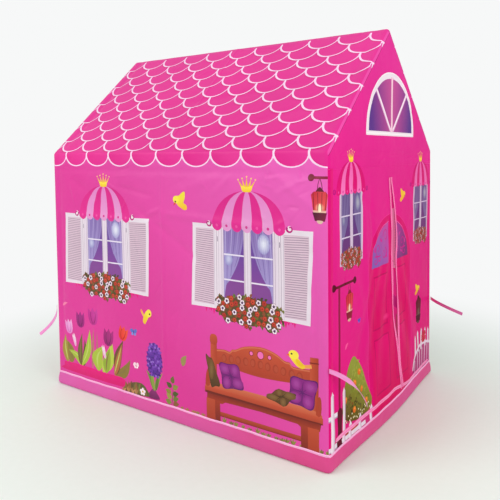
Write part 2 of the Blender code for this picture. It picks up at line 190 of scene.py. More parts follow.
def stroke(points, width, endWidth=None):
    # The outline of a line. Its width stays, changes towards the end, or is a list with one for each point.
    widths = width
    if not isinstance(width, list):
        last = width if endWidth is None else endWidth
        widths = [mix(width, last, i / (len(points) - 1)) for i in range(len(points))]
    left, right = [], []
    for i, point in enumerate(points):
        before, after = Vector(points[max(0, i - 1)]), Vector(points[min(len(points) - 1, i + 1)])
        run = (after - before).normalized() * widths[i] / 2
        left.append((point[0] - run.y, point[1] + run.x))
        right.append((point[0] + run.y, point[1] - run.x))
    return left + right[::-1]


def glow(art, cx, cy, rx, ry, tone, around, rings=6):
    # A soft spot of light, as rings that grow brighter towards the middle.
    for ring in range(rings):
        share = (ring + 1) / (rings + 1)
        colour = [mix(a, b, share ** 1.3) for a, b in zip(ink(around), ink(tone))]
        art.append((oval(cx, cy, rx * (1 - 0.86 * share), ry * (1 - 0.86 * share), steps=18), colour, None,
                    None, None))


def blossom(cx, cy, radius, petals=5, turn=0.0, dent=0.34):
    loop = []
    for step in range(petals * 4):
        a = math.pi * 2 * step / (petals * 4)
        r = radius * (1 - dent + dent * abs(math.cos(a * petals / 2)) ** 0.6)
        loop.append((cx + r * math.cos(a + turn), cy + r * math.sin(a + turn)))
    return loop


def blade(x0, y0, x1, y1, width, bend=0.0, fullest=0.4):
    # A leaf from its foot to its tip, bent to one side.
    run = Vector((x1 - x0, y1 - y0))
    side = Vector((-run.y, run.x)).normalized()
    left, right = [], []
    for step in range(9):
        t = step / 8
        swell = width / 2 * math.sin(math.pi * t ** (math.log(0.5) / math.log(fullest))) + 0.3
        spot = Vector((x0, y0)) + run * t + side * bend * math.sin(math.pi * t)
        left.append(tuple(spot + side * swell))
        right.append(tuple(spot - side * swell))
    return left + right[::-1]


def paint(art, loop, colour, fade=None):
    # fade is (second colour, (x, y) where the first is full, (x, y) where the second is).
    art.append((loop, ink(colour), *((ink(fade[0]), fade[1], fade[2]) if fade else (None, None, None))))


def paintSmooth(art, points, colour, fade=None, steps=3):
    paint(art, throughPoints(points, steps), colour, fade)


def paintLine(art, points, width, endWidth, colour, fade=None):
    paint(art, stroke(points, width, endWidth), colour, fade)


def stamp(art, source, cx, cy, size=1.0, flip=1, shade=None):
    # The same drawing again, moved, scaled or mirrored, and tinted by a colour where shade is given.
    def moved(p):
        return (cx + flip * size * p[0], cy + size * p[1])
    for loop, first, second, start, end in source:
        if shade:
            first = [mix(a, b, shade[1]) for a, b in zip(first, ink(shade[0]))]
            second = second and [mix(a, b, shade[1]) for a, b in zip(second, ink(shade[0]))]
        art.append(([moved(p) for p in loop], first, second, start and moved(start), end and moved(end)))


def addObject(name, data):
    made = bpy.data.objects.new(name, data)
    scene.collection.objects.link(made)
    return made


def addMesh(name, bm):
    mesh = bpy.data.meshes.new(name)
    bm.to_mesh(mesh)
    bm.free()
    return addObject(name, mesh)


def finer(loop, longest):
    # The outline with its long runs split, so that it follows the folds.
    points = []
    for start, end in zip(loop, loop[1:] + loop[:1]):
        parts = max(1, math.ceil(math.dist(start, end) / longest))
        points += [(mix(start[0], end[0], k / parts), mix(start[1], end[1], k / parts))
                   for k in range(parts)]
    return points


def signedArea(loop):
    return sum(a[0] * b[1] - b[0] * a[1] for a, b in zip(loop, loop[1:] + loop[:1])) / 2


def insideLoop(x, y, loop):
    inside = False
    for (x0, y0), (x1, y1) in zip(loop, loop[1:] + loop[:1]):
        if (y0 > y) != (y1 > y) and x < (x1 - x0) * (y - y0) / (y1 - y0) + x0:
            inside = not inside
    return inside


cutting = {
    "spacing": 11.0,                         # between the cloth's own rows of points
    "edgeRows": (2.4, 4.8, 7.2, 9.6, 14.0),  # rows along each long edge, which turns round a rod
    "edgeStep": 9.0,
    "foldRows": (-1.9, -1.2, -0.6, 0, 0.6, 1.2, 1.9),  # rows along each fold, in shares of its width
    "foldLength": 1.4,                       # a fold's rows run past its ends
    "gap": 1.6,                              # the least between an added point and a printed edge
}


def edgePoints(outline):
    # Rows of points just inside the cloth's edges.
    found = []
    for start, end in zip(outline, outline[1:] + outline[:1]):
        run = Vector(end) - Vector(start)
        inward = Vector((-run.y, run.x)).normalized()
        parts = max(1, round(run.length / cutting["edgeStep"]))
        if run.length > 60:
            for row in cutting["edgeRows"]:
                found += [tuple(Vector(start) + run * ((k + 0.5 * (len(found) % 2)) / parts) + inward * row)
                          for k in range(parts + 1)]
    return found


def foldPoints(folds):
    # Rows of points along the folds, every other one set off by half a step.
    found = []
    for u0, v0, u1, v1, width, _ in folds:
        run = Vector((u1 - u0, v1 - v0))
        side = Vector((-run.y, run.x)).normalized()
        parts = max(2, round(run.length * cutting["foldLength"] / max(4.0, width)))
        for row in cutting["foldRows"]:
            off = 0.5 * (row in (-1.2, 0, 1.2))
            found += [tuple(Vector((u0, v0)) + run * (cutting["foldLength"] * (k + off) / parts - 0.2)
                            + side * row * width) for k in range(parts)]
    return found


def printTone(spot, shape):
    # The shape's colour at a point, where it fades from one tone to another.
    _, first, second, start, end = shape
    if not second:
        return first
    run = Vector(end) - Vector(start)
    share = min(1.0, max(0.0, (spot - Vector(start)).dot(run) / run.length_squared))
    return [mix(a, b, share) for a, b in zip(first, second)]


def cutPanel(name, outline, ground, art, place, folds=(), spacing=cutting["spacing"]):
    # One flat sheet, cut along every printed shape, then laid in its place. Each face keeps the ink
    # of the last shape that covers it. The folds get rows of points of their own.
    outline = outline if signedArea(outline) > 0 else outline[::-1]
    lowU, highU = min(p[0] for p in outline), max(p[0] for p in outline)
    lowV, highV = min(p[1] for p in outline), max(p[1] for p in outline)
    shapes = [(outline, *ground)]
    for shape in art:
        xs, ys = [p[0] for p in shape[0]], [p[1] for p in shape[0]]
        if max(xs) > lowU and min(xs) < highU and max(ys) > lowV and min(ys) < highV:
            shapes.append(shape)
    points, loops = [], []
    for shape in shapes:
        loop = finer(shape[0], cutting["edgeStep"])
        if signedArea(loop) < 0:
            loop.reverse()
        loops.append(list(range(len(points), len(points) + len(loop))))
        points += loop
    near = KDTree(len(points))
    for index, (x, y) in enumerate(points):
        near.insert((x, y, 0), index)
    near.balance()
    extra = edgePoints(outline) + foldPoints(folds)
    columns, rows = int((highU - lowU) / spacing), int((highV - lowV) / spacing)
    for i in range(1, columns):
        for j in range(1, rows):
            extra.append((lowU + (highU - lowU) * (i + 0.25 * (j % 2)) / columns,
                          lowV + (highV - lowV) * j / rows))
    for x, y in extra:
        if near.find((x, y, 0))[2] > cutting["gap"] and insideLoop(x, y, outline):
            points.append((x, y))
    spots = [Vector(p) for p in points]
    flat, _, triangles, _, _, owners = delaunay_2d_cdt(spots, [], loops, 1, 0.02, True)
    kept = [(triangle, shapes[max(owner)]) for triangle, owner in zip(triangles, owners) if 0 in owner]
    used = sorted({index for face, _ in kept for index in face})
    renumber = {index: k for k, index in enumerate(used)}
    mesh = bpy.data.meshes.new(name)
    mesh.from_pydata([place(flat[i].x, flat[i].y) for i in used], [],
                     [[renumber[i] for i in face] for face, _ in kept])
    colours = mesh.color_attributes.new("print", "FLOAT_COLOR", "CORNER")
    maps = mesh.uv_layers.new(name="cloth")
    corners = [(flat[index], shape) for face, shape in kept for index in face]
    for corner, (spot, shape) in enumerate(corners):
        colours.data[corner].color = (*printTone(spot, shape), 1.0)
        maps.data[corner].uv = (spot.x / 1000, spot.y / 1000)
    mesh.shade_smooth()
    return addObject(name, mesh)


def thicken(piece, thickness, offset=-1.0, backSlot=1):
    solidify = piece.modifiers.new("cloth", "SOLIDIFY")
    solidify.thickness = thickness
    solidify.offset = offset
    solidify.material_offset = backSlot
    solidify.use_even_offset = False
    applyModifiers(piece)


def applyModifiers(piece, sharpAbove=55):
    bpy.context.view_layer.update()
    graph = bpy.context.evaluated_depsgraph_get()
    made = bpy.data.meshes.new_from_object(piece.evaluated_get(graph), preserve_all_data_layers=True,
                                           depsgraph=graph)
    piece.modifiers.clear()
    old = piece.data
    piece.data = made
    bpy.data.meshes.remove(old)
    made.name = piece.name
    made.shade_smooth()
    made.set_sharp_from_angle(angle=math.radians(sharpAbove))


def faceOutward(piece, outward):
    # Turns a single sheet over where most of it faces the wrong way.
    facing = sum((polygon.normal * polygon.area for polygon in piece.data.polygons), Vector())
    if facing.dot(Vector(outward)) < 0:
        piece.data.flip_normals()


class NodeTree:
    # A tree of shader nodes, with short ways to add to it. A value may be a socket of another node.
    def __init__(self, tree):
        self.tree = tree

    def feed(self, value, socket):
        if isinstance(value, bpy.types.NodeSocket):
            self.tree.links.new(value, socket)
        else:
            socket.default_value = value

    def node(self, kind, links=None, **values):
        made = self.tree.nodes.new("ShaderNode" + kind)
        for label, value in values.items():
            setattr(made, label, value)
        for slot, value in (links or {}).items():
            self.feed(value, made.inputs[slot])
        return made

    def math(self, operation, *values):
        return self.node("Math", dict(enumerate(values)), operation=operation).outputs[0]


class Group(NodeTree):
    # A node group with a vector and some numbers going in, and heights or masks coming out.
    def __init__(self, name, numbers, results):
        super().__init__(bpy.data.node_groups.new(name, "ShaderNodeTree"))
        sockets = self.tree.interface
        sockets.new_socket("Vector", in_out="INPUT", socket_type="NodeSocketVector")
        for label, value in numbers.items():
            sockets.new_socket(label, in_out="INPUT", socket_type="NodeSocketFloat").default_value = value
        for label in results:
            sockets.new_socket(label, in_out="OUTPUT", socket_type="NodeSocketFloat")
        self.given = self.tree.nodes.new("NodeGroupInput").outputs

    def finish(self, *values):
        result = self.tree.nodes.new("NodeGroupOutput")
        for value, socket in zip(values, result.inputs):
            self.feed(value, socket)
        return self.tree


def makeWeaveGroup():
    # Plain weave: warp and weft threads that take turns on top, as a height, and uneven threads.
    group = Group("plain weave", {"Threads per metre": 1400.0}, ("Height", "Slub"))
    where, threads = group.given[0], group.given[1]
    split = group.node("SeparateXYZ", {0: where})
    waves = []
    for axis in ("X", "Y"):
        turns = group.math("MULTIPLY", split.outputs[axis], threads)
        waves.append(group.math("SINE", group.math("MULTIPLY", turns, math.pi)))
    height = group.math("MULTIPLY_ADD", group.math("MULTIPLY", *waves), 0.5, 0.5)
    stretch = group.node("Mapping", {"Vector": where, "Scale": (40, 900, 40)})
    streak = group.node("TexNoise", {"Vector": stretch.outputs[0], "Scale": 1.0, "Detail": 1.0})
    return group.finish(height, streak.outputs["Fac"])


def makeCrumpleGroup():
    # The shallow facets that a thin cloth keeps from its packing, large and small ones, as a height.
    group = Group("packing facets", {"Size": 7.0}, ("Height",))
    where, total = group.given[0], 0.0
    for scale, share in ((1.0, 0.62), (2.9, 0.26), (8.0, 0.07)):
        size = group.math("MULTIPLY", group.given[1], scale)
        warp = group.node("TexNoise", {"Vector": where, "Scale": size})
        links = {0: warp.outputs["Color"], 1: (0.09 / scale,) * 3, 2: where}
        bent = group.node("VectorMath", links, operation="MULTIPLY_ADD")
        cells = group.node("TexVoronoi", {"Vector": bent.outputs[0], "Scale": size})
        total = group.math("MULTIPLY_ADD", cells.outputs["Distance"], share, total)
    return group.finish(total)


def makeStitchGroup():
    # A row of stitches on each side of a tape, from its own map: U along it and V across, in metres.
    group = Group("stitch rows", {"Pitch": 0.0032, "Row": 0.0015, "Width": 0.008}, ("Thread", "Height"))
    where, pitch, row, width = (group.given[k] for k in range(4))
    split = group.node("SeparateXYZ", {0: where})
    beat = group.math("FRACT", group.math("DIVIDE", split.outputs["X"], pitch))
    onStitch = group.math("LESS_THAN", group.math("ABSOLUTE", group.math("SUBTRACT", beat, 0.5)), 0.36)
    fromEdge = group.math("MINIMUM", split.outputs["Y"], group.math("SUBTRACT", width, split.outputs["Y"]))
    aside = group.math("ABSOLUTE", group.math("SUBTRACT", fromEdge, row))
    thread = group.math("MULTIPLY", onStitch, group.math("LESS_THAN", aside, 0.00035))
    dip = group.math("MULTIPLY", group.math("LESS_THAN", aside, 0.0009), -0.4)
    return group.finish(thread, group.math("ADD", thread, dip))


weaveGroup = makeWeaveGroup()
crumpleGroup = makeCrumpleGroup()
stitchGroup = makeStitchGroup()


class Look(NodeTree):
    # A material round one Principled shader.
    def __init__(self, name, roughness, **plain):
        self.material = bpy.data.materials.new(name)
        self.material.use_nodes = True
        super().__init__(self.material.node_tree)
        self.shader = self.tree.nodes["Principled BSDF"]
        self.shader.inputs["Roughness"].default_value = roughness
        for label, value in plain.items():
            self.shader.inputs[label.replace("_", " ")].default_value = value

    def set(self, label, value):
        self.feed(value, self.shader.inputs[label])

    def group(self, group, links):
        return self.node("Group", links, node_tree=group)

    def blend(self, share, *tones):
        # Two colours, each a swatch or a socket, mixed by a share.
        first, second = ((*ink(tone), 1) if isinstance(tone, str) else tone for tone in tones)
        return self.node("MixRGB", {"Fac": share, "Color1": first, "Color2": second}).outputs[0]

    def ranged(self, value, toLow=0.0, toHigh=1.0, fromLow=0.0, fromHigh=1.0, **values):
        links = {"Value": value, "From Min": fromLow, "From Max": fromHigh, "To Min": toLow,
                 "To Max": toHigh}
        return self.node("MapRange", links, **values).outputs[0]

    def bump(self, height, strength, distance, under=None):
        links = {"Strength": strength, "Distance": distance, "Height": height}
        if under is not None:
            links["Normal"] = under
        return self.node("Bump", links).outputs["Normal"]


def clothLook(name, roughness, tint=None, back=None, shine=0.16, size=7.0, relief=0.0022):
    # Printed taffeta: the colour comes from the print cut into the cloth, or on plain pieces from tint,
    # which runs from the rear of the tent to its front with a blotchy border.
    # back is (tone, how much of it, strength of its glow) for the cloth's inner side. The glow is painted
    # light, standing in for the light that comes through the cloth.
    look = Look(name, roughness, Specular_IOR_Level=shine)
    maps = look.node("UVMap", uv_map="cloth").outputs[0]
    weave = look.group(weaveGroup, {"Vector": maps, "Threads per metre": 1500.0})
    crumple = look.group(crumpleGroup, {"Vector": maps, "Size": size})
    broad = look.node("TexNoise", {"Vector": maps, "Scale": 3.4, "Detail": 3.0})
    if tint:
        where = look.node("SeparateXYZ", {0: look.node("TexCoord").outputs["Object"]})
        blotch = look.math("MULTIPLY_ADD", broad.outputs["Fac"], 1.6, where.outputs["X"])
        colour = look.blend(look.ranged(blotch, fromLow=0.45, fromHigh=1.25), *tint)
    else:
        colour = look.node("Attribute", attribute_name="print").outputs["Color"]
    dye = look.math("MULTIPLY_ADD", weave.outputs["Slub"], 0.10, broad.outputs["Fac"])
    level = look.ranged(dye, 0.94, 1.06, 0.3, 0.8)
    dyed = look.node("HueSaturation", {"Value": level, "Color": colour}).outputs[0]
    # Painted light: the inner side glows by emission, standing in for light that comes through the cloth.
    if back:
        dyed = look.blend(back[1], dyed, back[0])
        look.set("Emission Color", dyed)
        look.set("Emission Strength", back[2])
    look.set("Base Color", dyed)
    look.set("Roughness", look.ranged(weave.outputs["Slub"], roughness - 0.05, roughness + 0.07))
    fine = look.bump(weave.outputs["Height"], 0.10, 0.0002)
    look.set("Normal", look.bump(crumple.outputs["Height"], 1.0, relief, fine))
    return look.material


def tapeLook(name, light, dark, width, row=0.0015):
    look = Look(name, 0.5, Sheen_Weight=0.2, Sheen_Roughness=0.4)
    maps = look.node("UVMap", uv_map="cloth").outputs[0]
    weave = look.group(weaveGroup, {"Vector": maps, "Threads per metre": 900.0})
    rows = look.group(stitchGroup, {"Vector": maps, "Width": width, "Row": row})
    ground = look.blend(weave.outputs["Slub"], light, dark)
    look.set("Base Color", look.blend(rows.outputs["Thread"], ground, "FFE0F2"))
    fine = look.bump(weave.outputs["Height"], 0.25, 0.0003)
    look.set("Normal", look.bump(rows.outputs["Height"], 0.5, 0.0004, fine))
    return look.material


def satinLook():
    # Woven satin ribbon: fine lengthwise threads and a soft gloss.
    look = Look("satin ribbon", 0.34, Sheen_Weight=0.3, Sheen_Roughness=0.3)
    maps = look.node("UVMap", uv_map="cloth").outputs[0]
    split = look.node("SeparateXYZ", {0: maps})
    rib = look.math("SINE", look.math("MULTIPLY", split.outputs["Y"], 9000.0))
    streak = look.group(weaveGroup, {"Vector": maps, "Threads per metre": 1800.0})
    look.set("Base Color", look.blend(streak.outputs["Slub"], "F9A4DE", "E46CB8"))
    look.set("Normal", look.bump(rib, 0.2, 0.0002))
    return look.material


def plasticLook(name, tone, dull, roughness, alongSize):
    # Extruded or moulded white plastic: faint draw lines, mottled gloss and slightly yellowed patches.
    look = Look(name, roughness, Specular_IOR_Level=0.5)
    where = look.node("TexCoord").outputs["Object"]
    stretch = look.node("Mapping", {"Vector": where, "Scale": (alongSize, alongSize, 30.0)})
    grain = look.node("TexNoise", {"Vector": stretch.outputs[0], "Scale": 6.0, "Detail": 3.0})
    patches = look.node("TexNoise", {"Vector": where, "Scale": 11.0, "Detail": 2.0})
    look.set("Base Color", look.blend(patches.outputs["Fac"], tone, dull))
    look.set("Roughness", look.ranged(grain.outputs["Fac"], roughness - 0.08, roughness + 0.1))
    look.set("Normal", look.bump(grain.outputs["Fac"], 0.15, 0.0003))
    return look.material


wallPrint = clothLook("printed taffeta, walls", 0.40, shine=0.25, relief=0.0042)
endPrint = clothLook("printed taffeta, ends and door", 0.46, shine=0.03, relief=0.0036)
roofPrint = clothLook("printed taffeta, roof", 0.44, size=5.0, relief=0.0018)
# The cloth's inner side, paler where the print shows through, with a painted glow for the light that comes
# through.
glowingClothBack = clothLook("cloth back with painted glow", 0.62, back=("CE3C90", 0.5, 0.41), shine=0.08)
bandFront = clothLook("sleeve cloth", 0.48, tint=("DC5EAC", "D64888"), size=14.0, relief=0.0016)
bandBack = clothLook("sleeve cloth, inside", 0.60, tint=("D070AC", "C0649C"), size=14.0)
bindingTape = tapeLook("binding tape", "FF5CB0", "F0429A", 0.0094)
hemTapeLook = tapeLook("hem tape", "FF82C4", "F464AC", 0.009)
pipingTape = tapeLook("sleeve seam tape", "FFB4E4", "F794D4", 0.006, 0.0012)
ribbonSatin = satinLook()
rodPlastic = plasticLook("extruded white plastic", "EDEDE8", "DEDDD4", 0.42, 90.0)
jointPlastic = plasticLook("moulded white plastic", "F2F2EE", "E4E3DC", 0.36, 40.0)
print("materials made")

for name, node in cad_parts.items():
    if "corner" in name or "joint" in name:
        node.material_slots[0].material = jointPlastic
    elif "_rod_" in name or name.startswith(("post_", "rafter_")):
        node.material_slots[0].material = rodPlastic


cameraSettings = {"place": (1.02354, -1.41679, 0.69853), "azimuth": 33.6247, "elevation": 2.9734,
                  "roll": -0.5365, "lens": 40.99, "shiftX": -0.0351, "shiftY": -0.1347}
lightSettings = {
    "key": ((-1.6, -2.9, 2.3), (2.4, 2.4), 58.0, "FFFDFA"),
    "front": ((3.0, -0.8, 1.6), (2.2, 2.2), 40.0, "FFFAF6"),
    "top": ((0.1, 0.2, 3.4), (3.0, 3.0), 4.0, "FFFFFF"),
}
floorSettings = {"radius": 9.0, "tones": ("EFFEF3", "EBFAEE"), "fade": (0.45, 1.4), "backdrop": "F7F8F8",
                 "roomLight": 0.56}


def setCamera():
    data = bpy.data.cameras.new("camera")
    data.sensor_width = 36
    data.lens = cameraSettings["lens"]
    data.shift_x, data.shift_y = cameraSettings["shiftX"], cameraSettings["shiftY"]
    data.clip_end = 60
    camera = addObject("camera", data)
    az, el, roll = (math.radians(cameraSettings[k]) for k in ("azimuth", "elevation", "roll"))
    back = Vector((math.sin(az) * math.cos(el), -math.cos(az) * math.cos(el), math.sin(el)))
    right = Vector((0, 0, 1)).cross(back).normalized()
    up = back.cross(right)
    right, up = (right * math.cos(roll) + up * math.sin(roll), up * math.cos(roll) - right * math.sin(roll))
    for row in range(3):
        for column, axis in enumerate((right, up, back)):
            camera.matrix_world[row][column] = axis[row]
        camera.matrix_world[row][3] = cameraSettings["place"][row]
    scene.camera = camera


def seenDirectly(nodes):
    # 1 for what the camera sees, straight or in a gloss, and 0 for what only lights the scene.
    path = nodes.node("LightPath").outputs
    direct = nodes.math("MAXIMUM", path["Is Camera Ray"], path["Is Transmission Ray"])
    return nodes.math("MAXIMUM", direct, path["Is Glossy Ray"])


def setLights():
    for name, (place, size, power, tone) in lightSettings.items():
        data = bpy.data.lights.new(name, "AREA")
        data.shape = "RECTANGLE"
        data.size, data.size_y = size
        data.energy = power
        data.color = ink(tone)
        lamp = addObject(name, data)
        lamp.location = place
        lamp.rotation_euler = (Vector((0, 0, 0.5)) - Vector(place)).to_track_quat("-Z", "Y").to_euler()
    world = bpy.data.worlds.new("studio")
    scene.world = world
    world.use_nodes = True
    sky = NodeTree(world.node_tree)
    plain = sky.tree.nodes["Background"]
    plain.inputs["Color"].default_value = (0.97, 1.0, 0.99, 1)
    plain.inputs["Strength"].default_value = floorSettings["roomLight"]
    seen = sky.node("Background", {"Color": (*ink(floorSettings["backdrop"]), 1), "Strength": 1.0})
    blend = sky.node("MixShader", {"Fac": seenDirectly(sky), 1: plain.outputs[0], 2: seen.outputs[0]})
    sky.feed(blend.outputs[0], sky.tree.nodes["World Output"].inputs["Surface"])


def setFloor():
    bm = bmesh.new()
    bmesh.ops.create_circle(bm, cap_ends=True, segments=64, radius=floorSettings["radius"])
    floor = addMesh("floor", bm)
    look = Look("pale floor", 0.6)
    where = look.node("TexCoord").outputs["Object"]
    speck = look.node("TexNoise", {"Vector": where, "Scale": 60.0, "Detail": 2.0})
    look.set("Base Color", look.blend(speck.outputs["Fac"], *floorSettings["tones"]))
    # Far from the tent the floor runs into the white of the background.
    far = look.node("VectorMath", {0: where}, operation="LENGTH")
    near, out = floorSettings["fade"]
    paler = look.ranged(far.outputs["Value"], fromLow=near, fromHigh=out, interpolation_type="SMOOTHSTEP")
    amount = look.math("MULTIPLY", paler, seenDirectly(look))
    white = look.node("Emission", {"Color": (*ink(floorSettings["backdrop"]), 1), "Strength": 1.0})
    both = look.node("MixShader", {0: amount, 1: look.shader.outputs[0], 2: white.outputs[0]})
    look.feed(both.outputs[0], look.tree.nodes["Material Output"].inputs["Surface"])
    floor.data.materials.append(look.material)


setCamera()
setLights()
setFloor()
scene.view_settings.view_transform = "Standard"
print("camera, lights and floor set")


wallInk = {"end": "E21E82", "roof": "E22E92", "scallop": "F6D2F0", "overhang": "DE1888"}


def drawCrown(art, cx, cy, size=1.0):
    # A little gilt crown as a finial.
    def at(points):
        return [(cx + size * x, cy + size * y) for x, y in points]
    for dx, dy in ((-24, 27), (-12.5, 30), (0, 34), (12.5, 30), (24, 27)):
        paint(art, at([(dx * 0.45 - 4, 8), (dx * 0.45 + 4, 8), (dx, dy)]), "F0C02C")
        paint(art, oval(cx + size * dx, cy + size * (dy + 1), size * 2.0, steps=8), "F6DC5A")
    paintSmooth(art, at([(-12, 1), (0, -1), (12, 1), (15, 13), (0, 11), (-15, 13)]), "EFC22A",
                ("FBE04A", *at([(0, 0), (0, 12)])))


def drawAwning(art, gores, lipDepth=9.5):
    # A domed awning of seven gores, each with a round lower edge and a button, and a curl at each end.
    wide, high, foot = 105.0, 92.0, 102.0
    for side in (-1, 1):
        turns = [(8 - 0.3 * k, math.radians(150 + 24 * k)) for k in range(15)]
        curl = [(side * (116 + r * math.cos(a)), 109 + r * math.sin(a)) for r, a in turns]
        paint(art, oval(side * 115, 110, 5.6, 6.2), gores[4])
        paintLine(art, curl, 4.8, 3.0, "B8187A")
    for gore in range(7):
        sides = [-wide + gore * 2 * wide / 7, -wide + (gore + 1) * 2 * wide / 7]
        turns = [math.radians(86 * k / 10) for k in range(11)]
        up, down = ([(x * math.cos(a), foot + (high - 3) * math.sin(a)) for a in turns] for x in sides)
        middle = (sides[0] + sides[1]) / 2
        lip = [(mix(sides[1], sides[0], k / 8), foot - lipDepth * math.sin(math.pi * k / 8) ** 0.8)
               for k in range(1, 8)]
        low, top = gores[2 * (gore % 2):2 * (gore % 2) + 2]
        paint(art, up + down[::-1] + lip, low, (top, (middle, foot + high * 0.85), (middle, foot)))
        paint(art, oval(middle, foot + 4, 3.6, steps=10), "D42C8C" if gore % 2 else "EE4CA6")


def mirrored(points, side):
    # The points as they are, or on the other side of the middle.
    return [(side * x, y) for x, y in points]


def drawCurtainedPanes(art, bars):
    # Two tall panes with drawn-back curtains behind them, two glazing bars and a middle post.
    for side in (-1, 1):
        paint(art, block(side * 9, -100, side * 72, 104), "67409A",
              ("8A4498", (0, 60), (0, -60)))
        curtain = [(72, 104), (9, 104), (12, 74), (18, 48), (28, 20), (40, -4), (54, -26), (64, -44),
                   (72, -62)]
        paintSmooth(art, mirrored(curtain, side), "8A70B2", ("A08ECA", (0, 90), (0, -10)))
        for k, tone in enumerate(("8468AA", "A08AC4", "7A62A4", "AC9ACE", "846CB0", "B6A8D8")):
            top, foot = 15 + 10 * k, 38 + 6 * k
            lowest = 8 - 11 * k
            fold = [(top, 103), (mix(top, foot, 0.25), 66), (mix(top, foot, 0.62), 30), (foot, lowest)]
            paintLine(art, mirrored(fold, side), 3.0, 1.2, tone)
        sill = [(10, -26), (38, -23), (58, -30), (66, -48), (67, -100), (10, -100)]
        paintSmooth(art, mirrored(sill, side), "844493")
    glow(art, 47, 70, 19, 26, "EEECFA", "9C92CC", 9)
    glow(art, -56, 26, 14, 18, "CFCBEA", "968EC8", 5)
    for k in range(6):
        paintLine(art, [(33 + 5 * k, 92 - abs(k - 2.5) * 5), (34 + 5 * k, 44 + abs(k - 2.5) * 5)], 1.2, 0.5,
                  "D6D0EE")
    for bar in (37, -24):
        paint(bars, block(-72, bar - 1.8, 72, bar + 1.8), "E9DCF0")
    for side in (-1, 1):
        paint(bars, block(side * 71, -101, side * 83, 108), "E4D2E4")
        paint(bars, block(side * 77 - 0.8, -101, side * 77 + 0.8, 108), "BFA6BE")
        paint(bars, block(side * 70.5, -101, side * 72, 106), "B49CC0")
    paint(bars, block(-10.5, -101, 10.5, 108), "D2BCD0")
    paint(bars, block(-6, -101, 7, 108), "E6D6E6")
    paint(bars, block(-0.6, -101, 0.8, 108), "C9B2C8")


def drawShutters(art):
    # A louvred shutter thrown open on each side. Both lean the same way, with their tops further right.
    lean, outer = 4.0, 172
    for side in (-1, 1):
        for k in range(7):
            x = side * (80 + 8 * k)
            paintSmooth(art, [(x - 5, -94), (x + 5, -94), (x + 3, -106 - 5 * (k % 2) + k),
                              (x, -118 + 6 * (k % 3) + k), (x - 3, -107 + k)], "E2107E")
        paint(art, [(side * 83, -99), (side * 83, 107), (side * outer + lean, 108),
                    (side * outer - lean, -101)], "E8D8E6")
        paint(art, [(side * 102, -91), (side * 102, 96), (side * 162 + lean, 96), (side * 162 - lean, -91)],
              "D6B6CA")
        for slat in range(35):
            v = 92 - slat * 5.25
            near, far = side * 103, side * 161 + lean * v / 100
            paint(art, [(near, v - 0.9), (far, v + 1.0), (far, v - 0.8), (near, v - 2.7)], "A88CA2")
            paint(art, [(near, v + 0.8), (far, v + 2.6), (far, v + 1.6), (near, v - 0.1)], "E8CEDE")
        for x, tone in ((86.5, "C6B2C6"), (93, "B29CB2"), (100, "C6B2C6")):
            paint(art, block(side * x - 0.7, -97, side * x + 0.7, 105), tone)
        paint(art, block(side * 90 - 1.0, 66, side * 90 + 1.0, 78), "8A7690")


def drawFlowerBox(art, seed, bloom):
    # A sill box crowded with red and white summer flowers over brown and green leaves, trailing below.
    rng = random.Random(seed)
    hanging = ((-100, -92), (-84, -112), (-68, -128), (-45, -123), (-22, -127), (-3, -133), (14, -124),
               (34, -121), (52, -128), (70, -138), (84, -122), (100, -98))

    def lowest(u):
        for (u0, v0), (u1, v1) in zip(hanging, hanging[1:]):
            if u <= u1:
                return mix(v0, v1, (u - u0) / (u1 - u0))
        return hanging[-1][1]

    def highest(u):
        return -60 - 0.0014 * u * u + 2.4 * math.sin(u / 5.0)
    edge = [(u, highest(u)) for u in range(-90, 91, 6)]
    edge += [(u, lowest(u) + 3.0 * math.sin(u / 3.3)) for u in range(90, -91, -6)]
    paint(art, edge, "5E4228", ("55481F", (-60, -60), (40, -125)))
    for _ in range(140):
        u = rng.uniform(-95, 95)
        v = mix(highest(u) + 2, lowest(u), rng.random())
        inner = abs(v + 93) < 22
        a = rng.uniform(0, 2 * math.pi) if inner else math.atan2(v + 93, u) + rng.uniform(-0.8, 0.8)
        paint(art, blade(u, v, u + 10 * math.cos(a), v + 10 * math.sin(a), 6.0, 1.2),
              rng.choice(("5E6A2C", "6A642A", "7E3E26", "46401E", "84502A", "76723A", "8E4A30")))
    spots, tries = [], 0
    while len(spots) < 48 / bloom and tries < 4000:
        tries += 1
        u = rng.uniform(-90, 90)
        v = mix(highest(u) - 3, lowest(u) + 2, rng.random())
        if all(math.hypot(u - x, v - y) > 12.6 * bloom for x, y in spots):
            spots.append((u, v))
    spots.sort(key=lambda spot: (round(spot[1] / (13 * bloom)), spot[0]))
    for index, (u, v) in enumerate(spots):
        turn = rng.uniform(0, 2 * math.pi)
        if index % 5 in (0, 2):
            size = rng.uniform(6.6, 7.6) * bloom
            paint(art, blossom(u, v, size + 1.0, 5, turn, 0.22), "9A6478")
            paint(art, blossom(u, v, size, 5, turn, 0.24), "F2E0EE" if bloom == 1 else "DDB4BC")
            paint(art, blossom(u, v, size * 0.56, 5, turn + 0.5, 0.42), "4E1E52")
        else:
            size = rng.uniform(6.2, 8.4) * bloom
            paint(art, blossom(u, v, size, 5, turn, 0.3), "9E2A20")
            paint(art, blossom(u + 0.5, v + 0.7, size * 0.74, 5, turn + 0.4, 0.3),
                  rng.choice(("C8402A", "CE4A30", "B83226")))
            paint(art, oval(u, v, 1.7, steps=8), "6E1A1A")


def windowSet(seed):
    # A window with its shutters, as on the sides and at the rear.
    art = []
    drawShutters(art)
    drawCurtainedPanes(art, art)
    drawAwning(art, ("D61584", "E42490", "E07EC4", "E698D0", "EEDCE8"))
    drawCrown(art, 0, 189)
    drawFlowerBox(art, seed, 1.0)
    return art


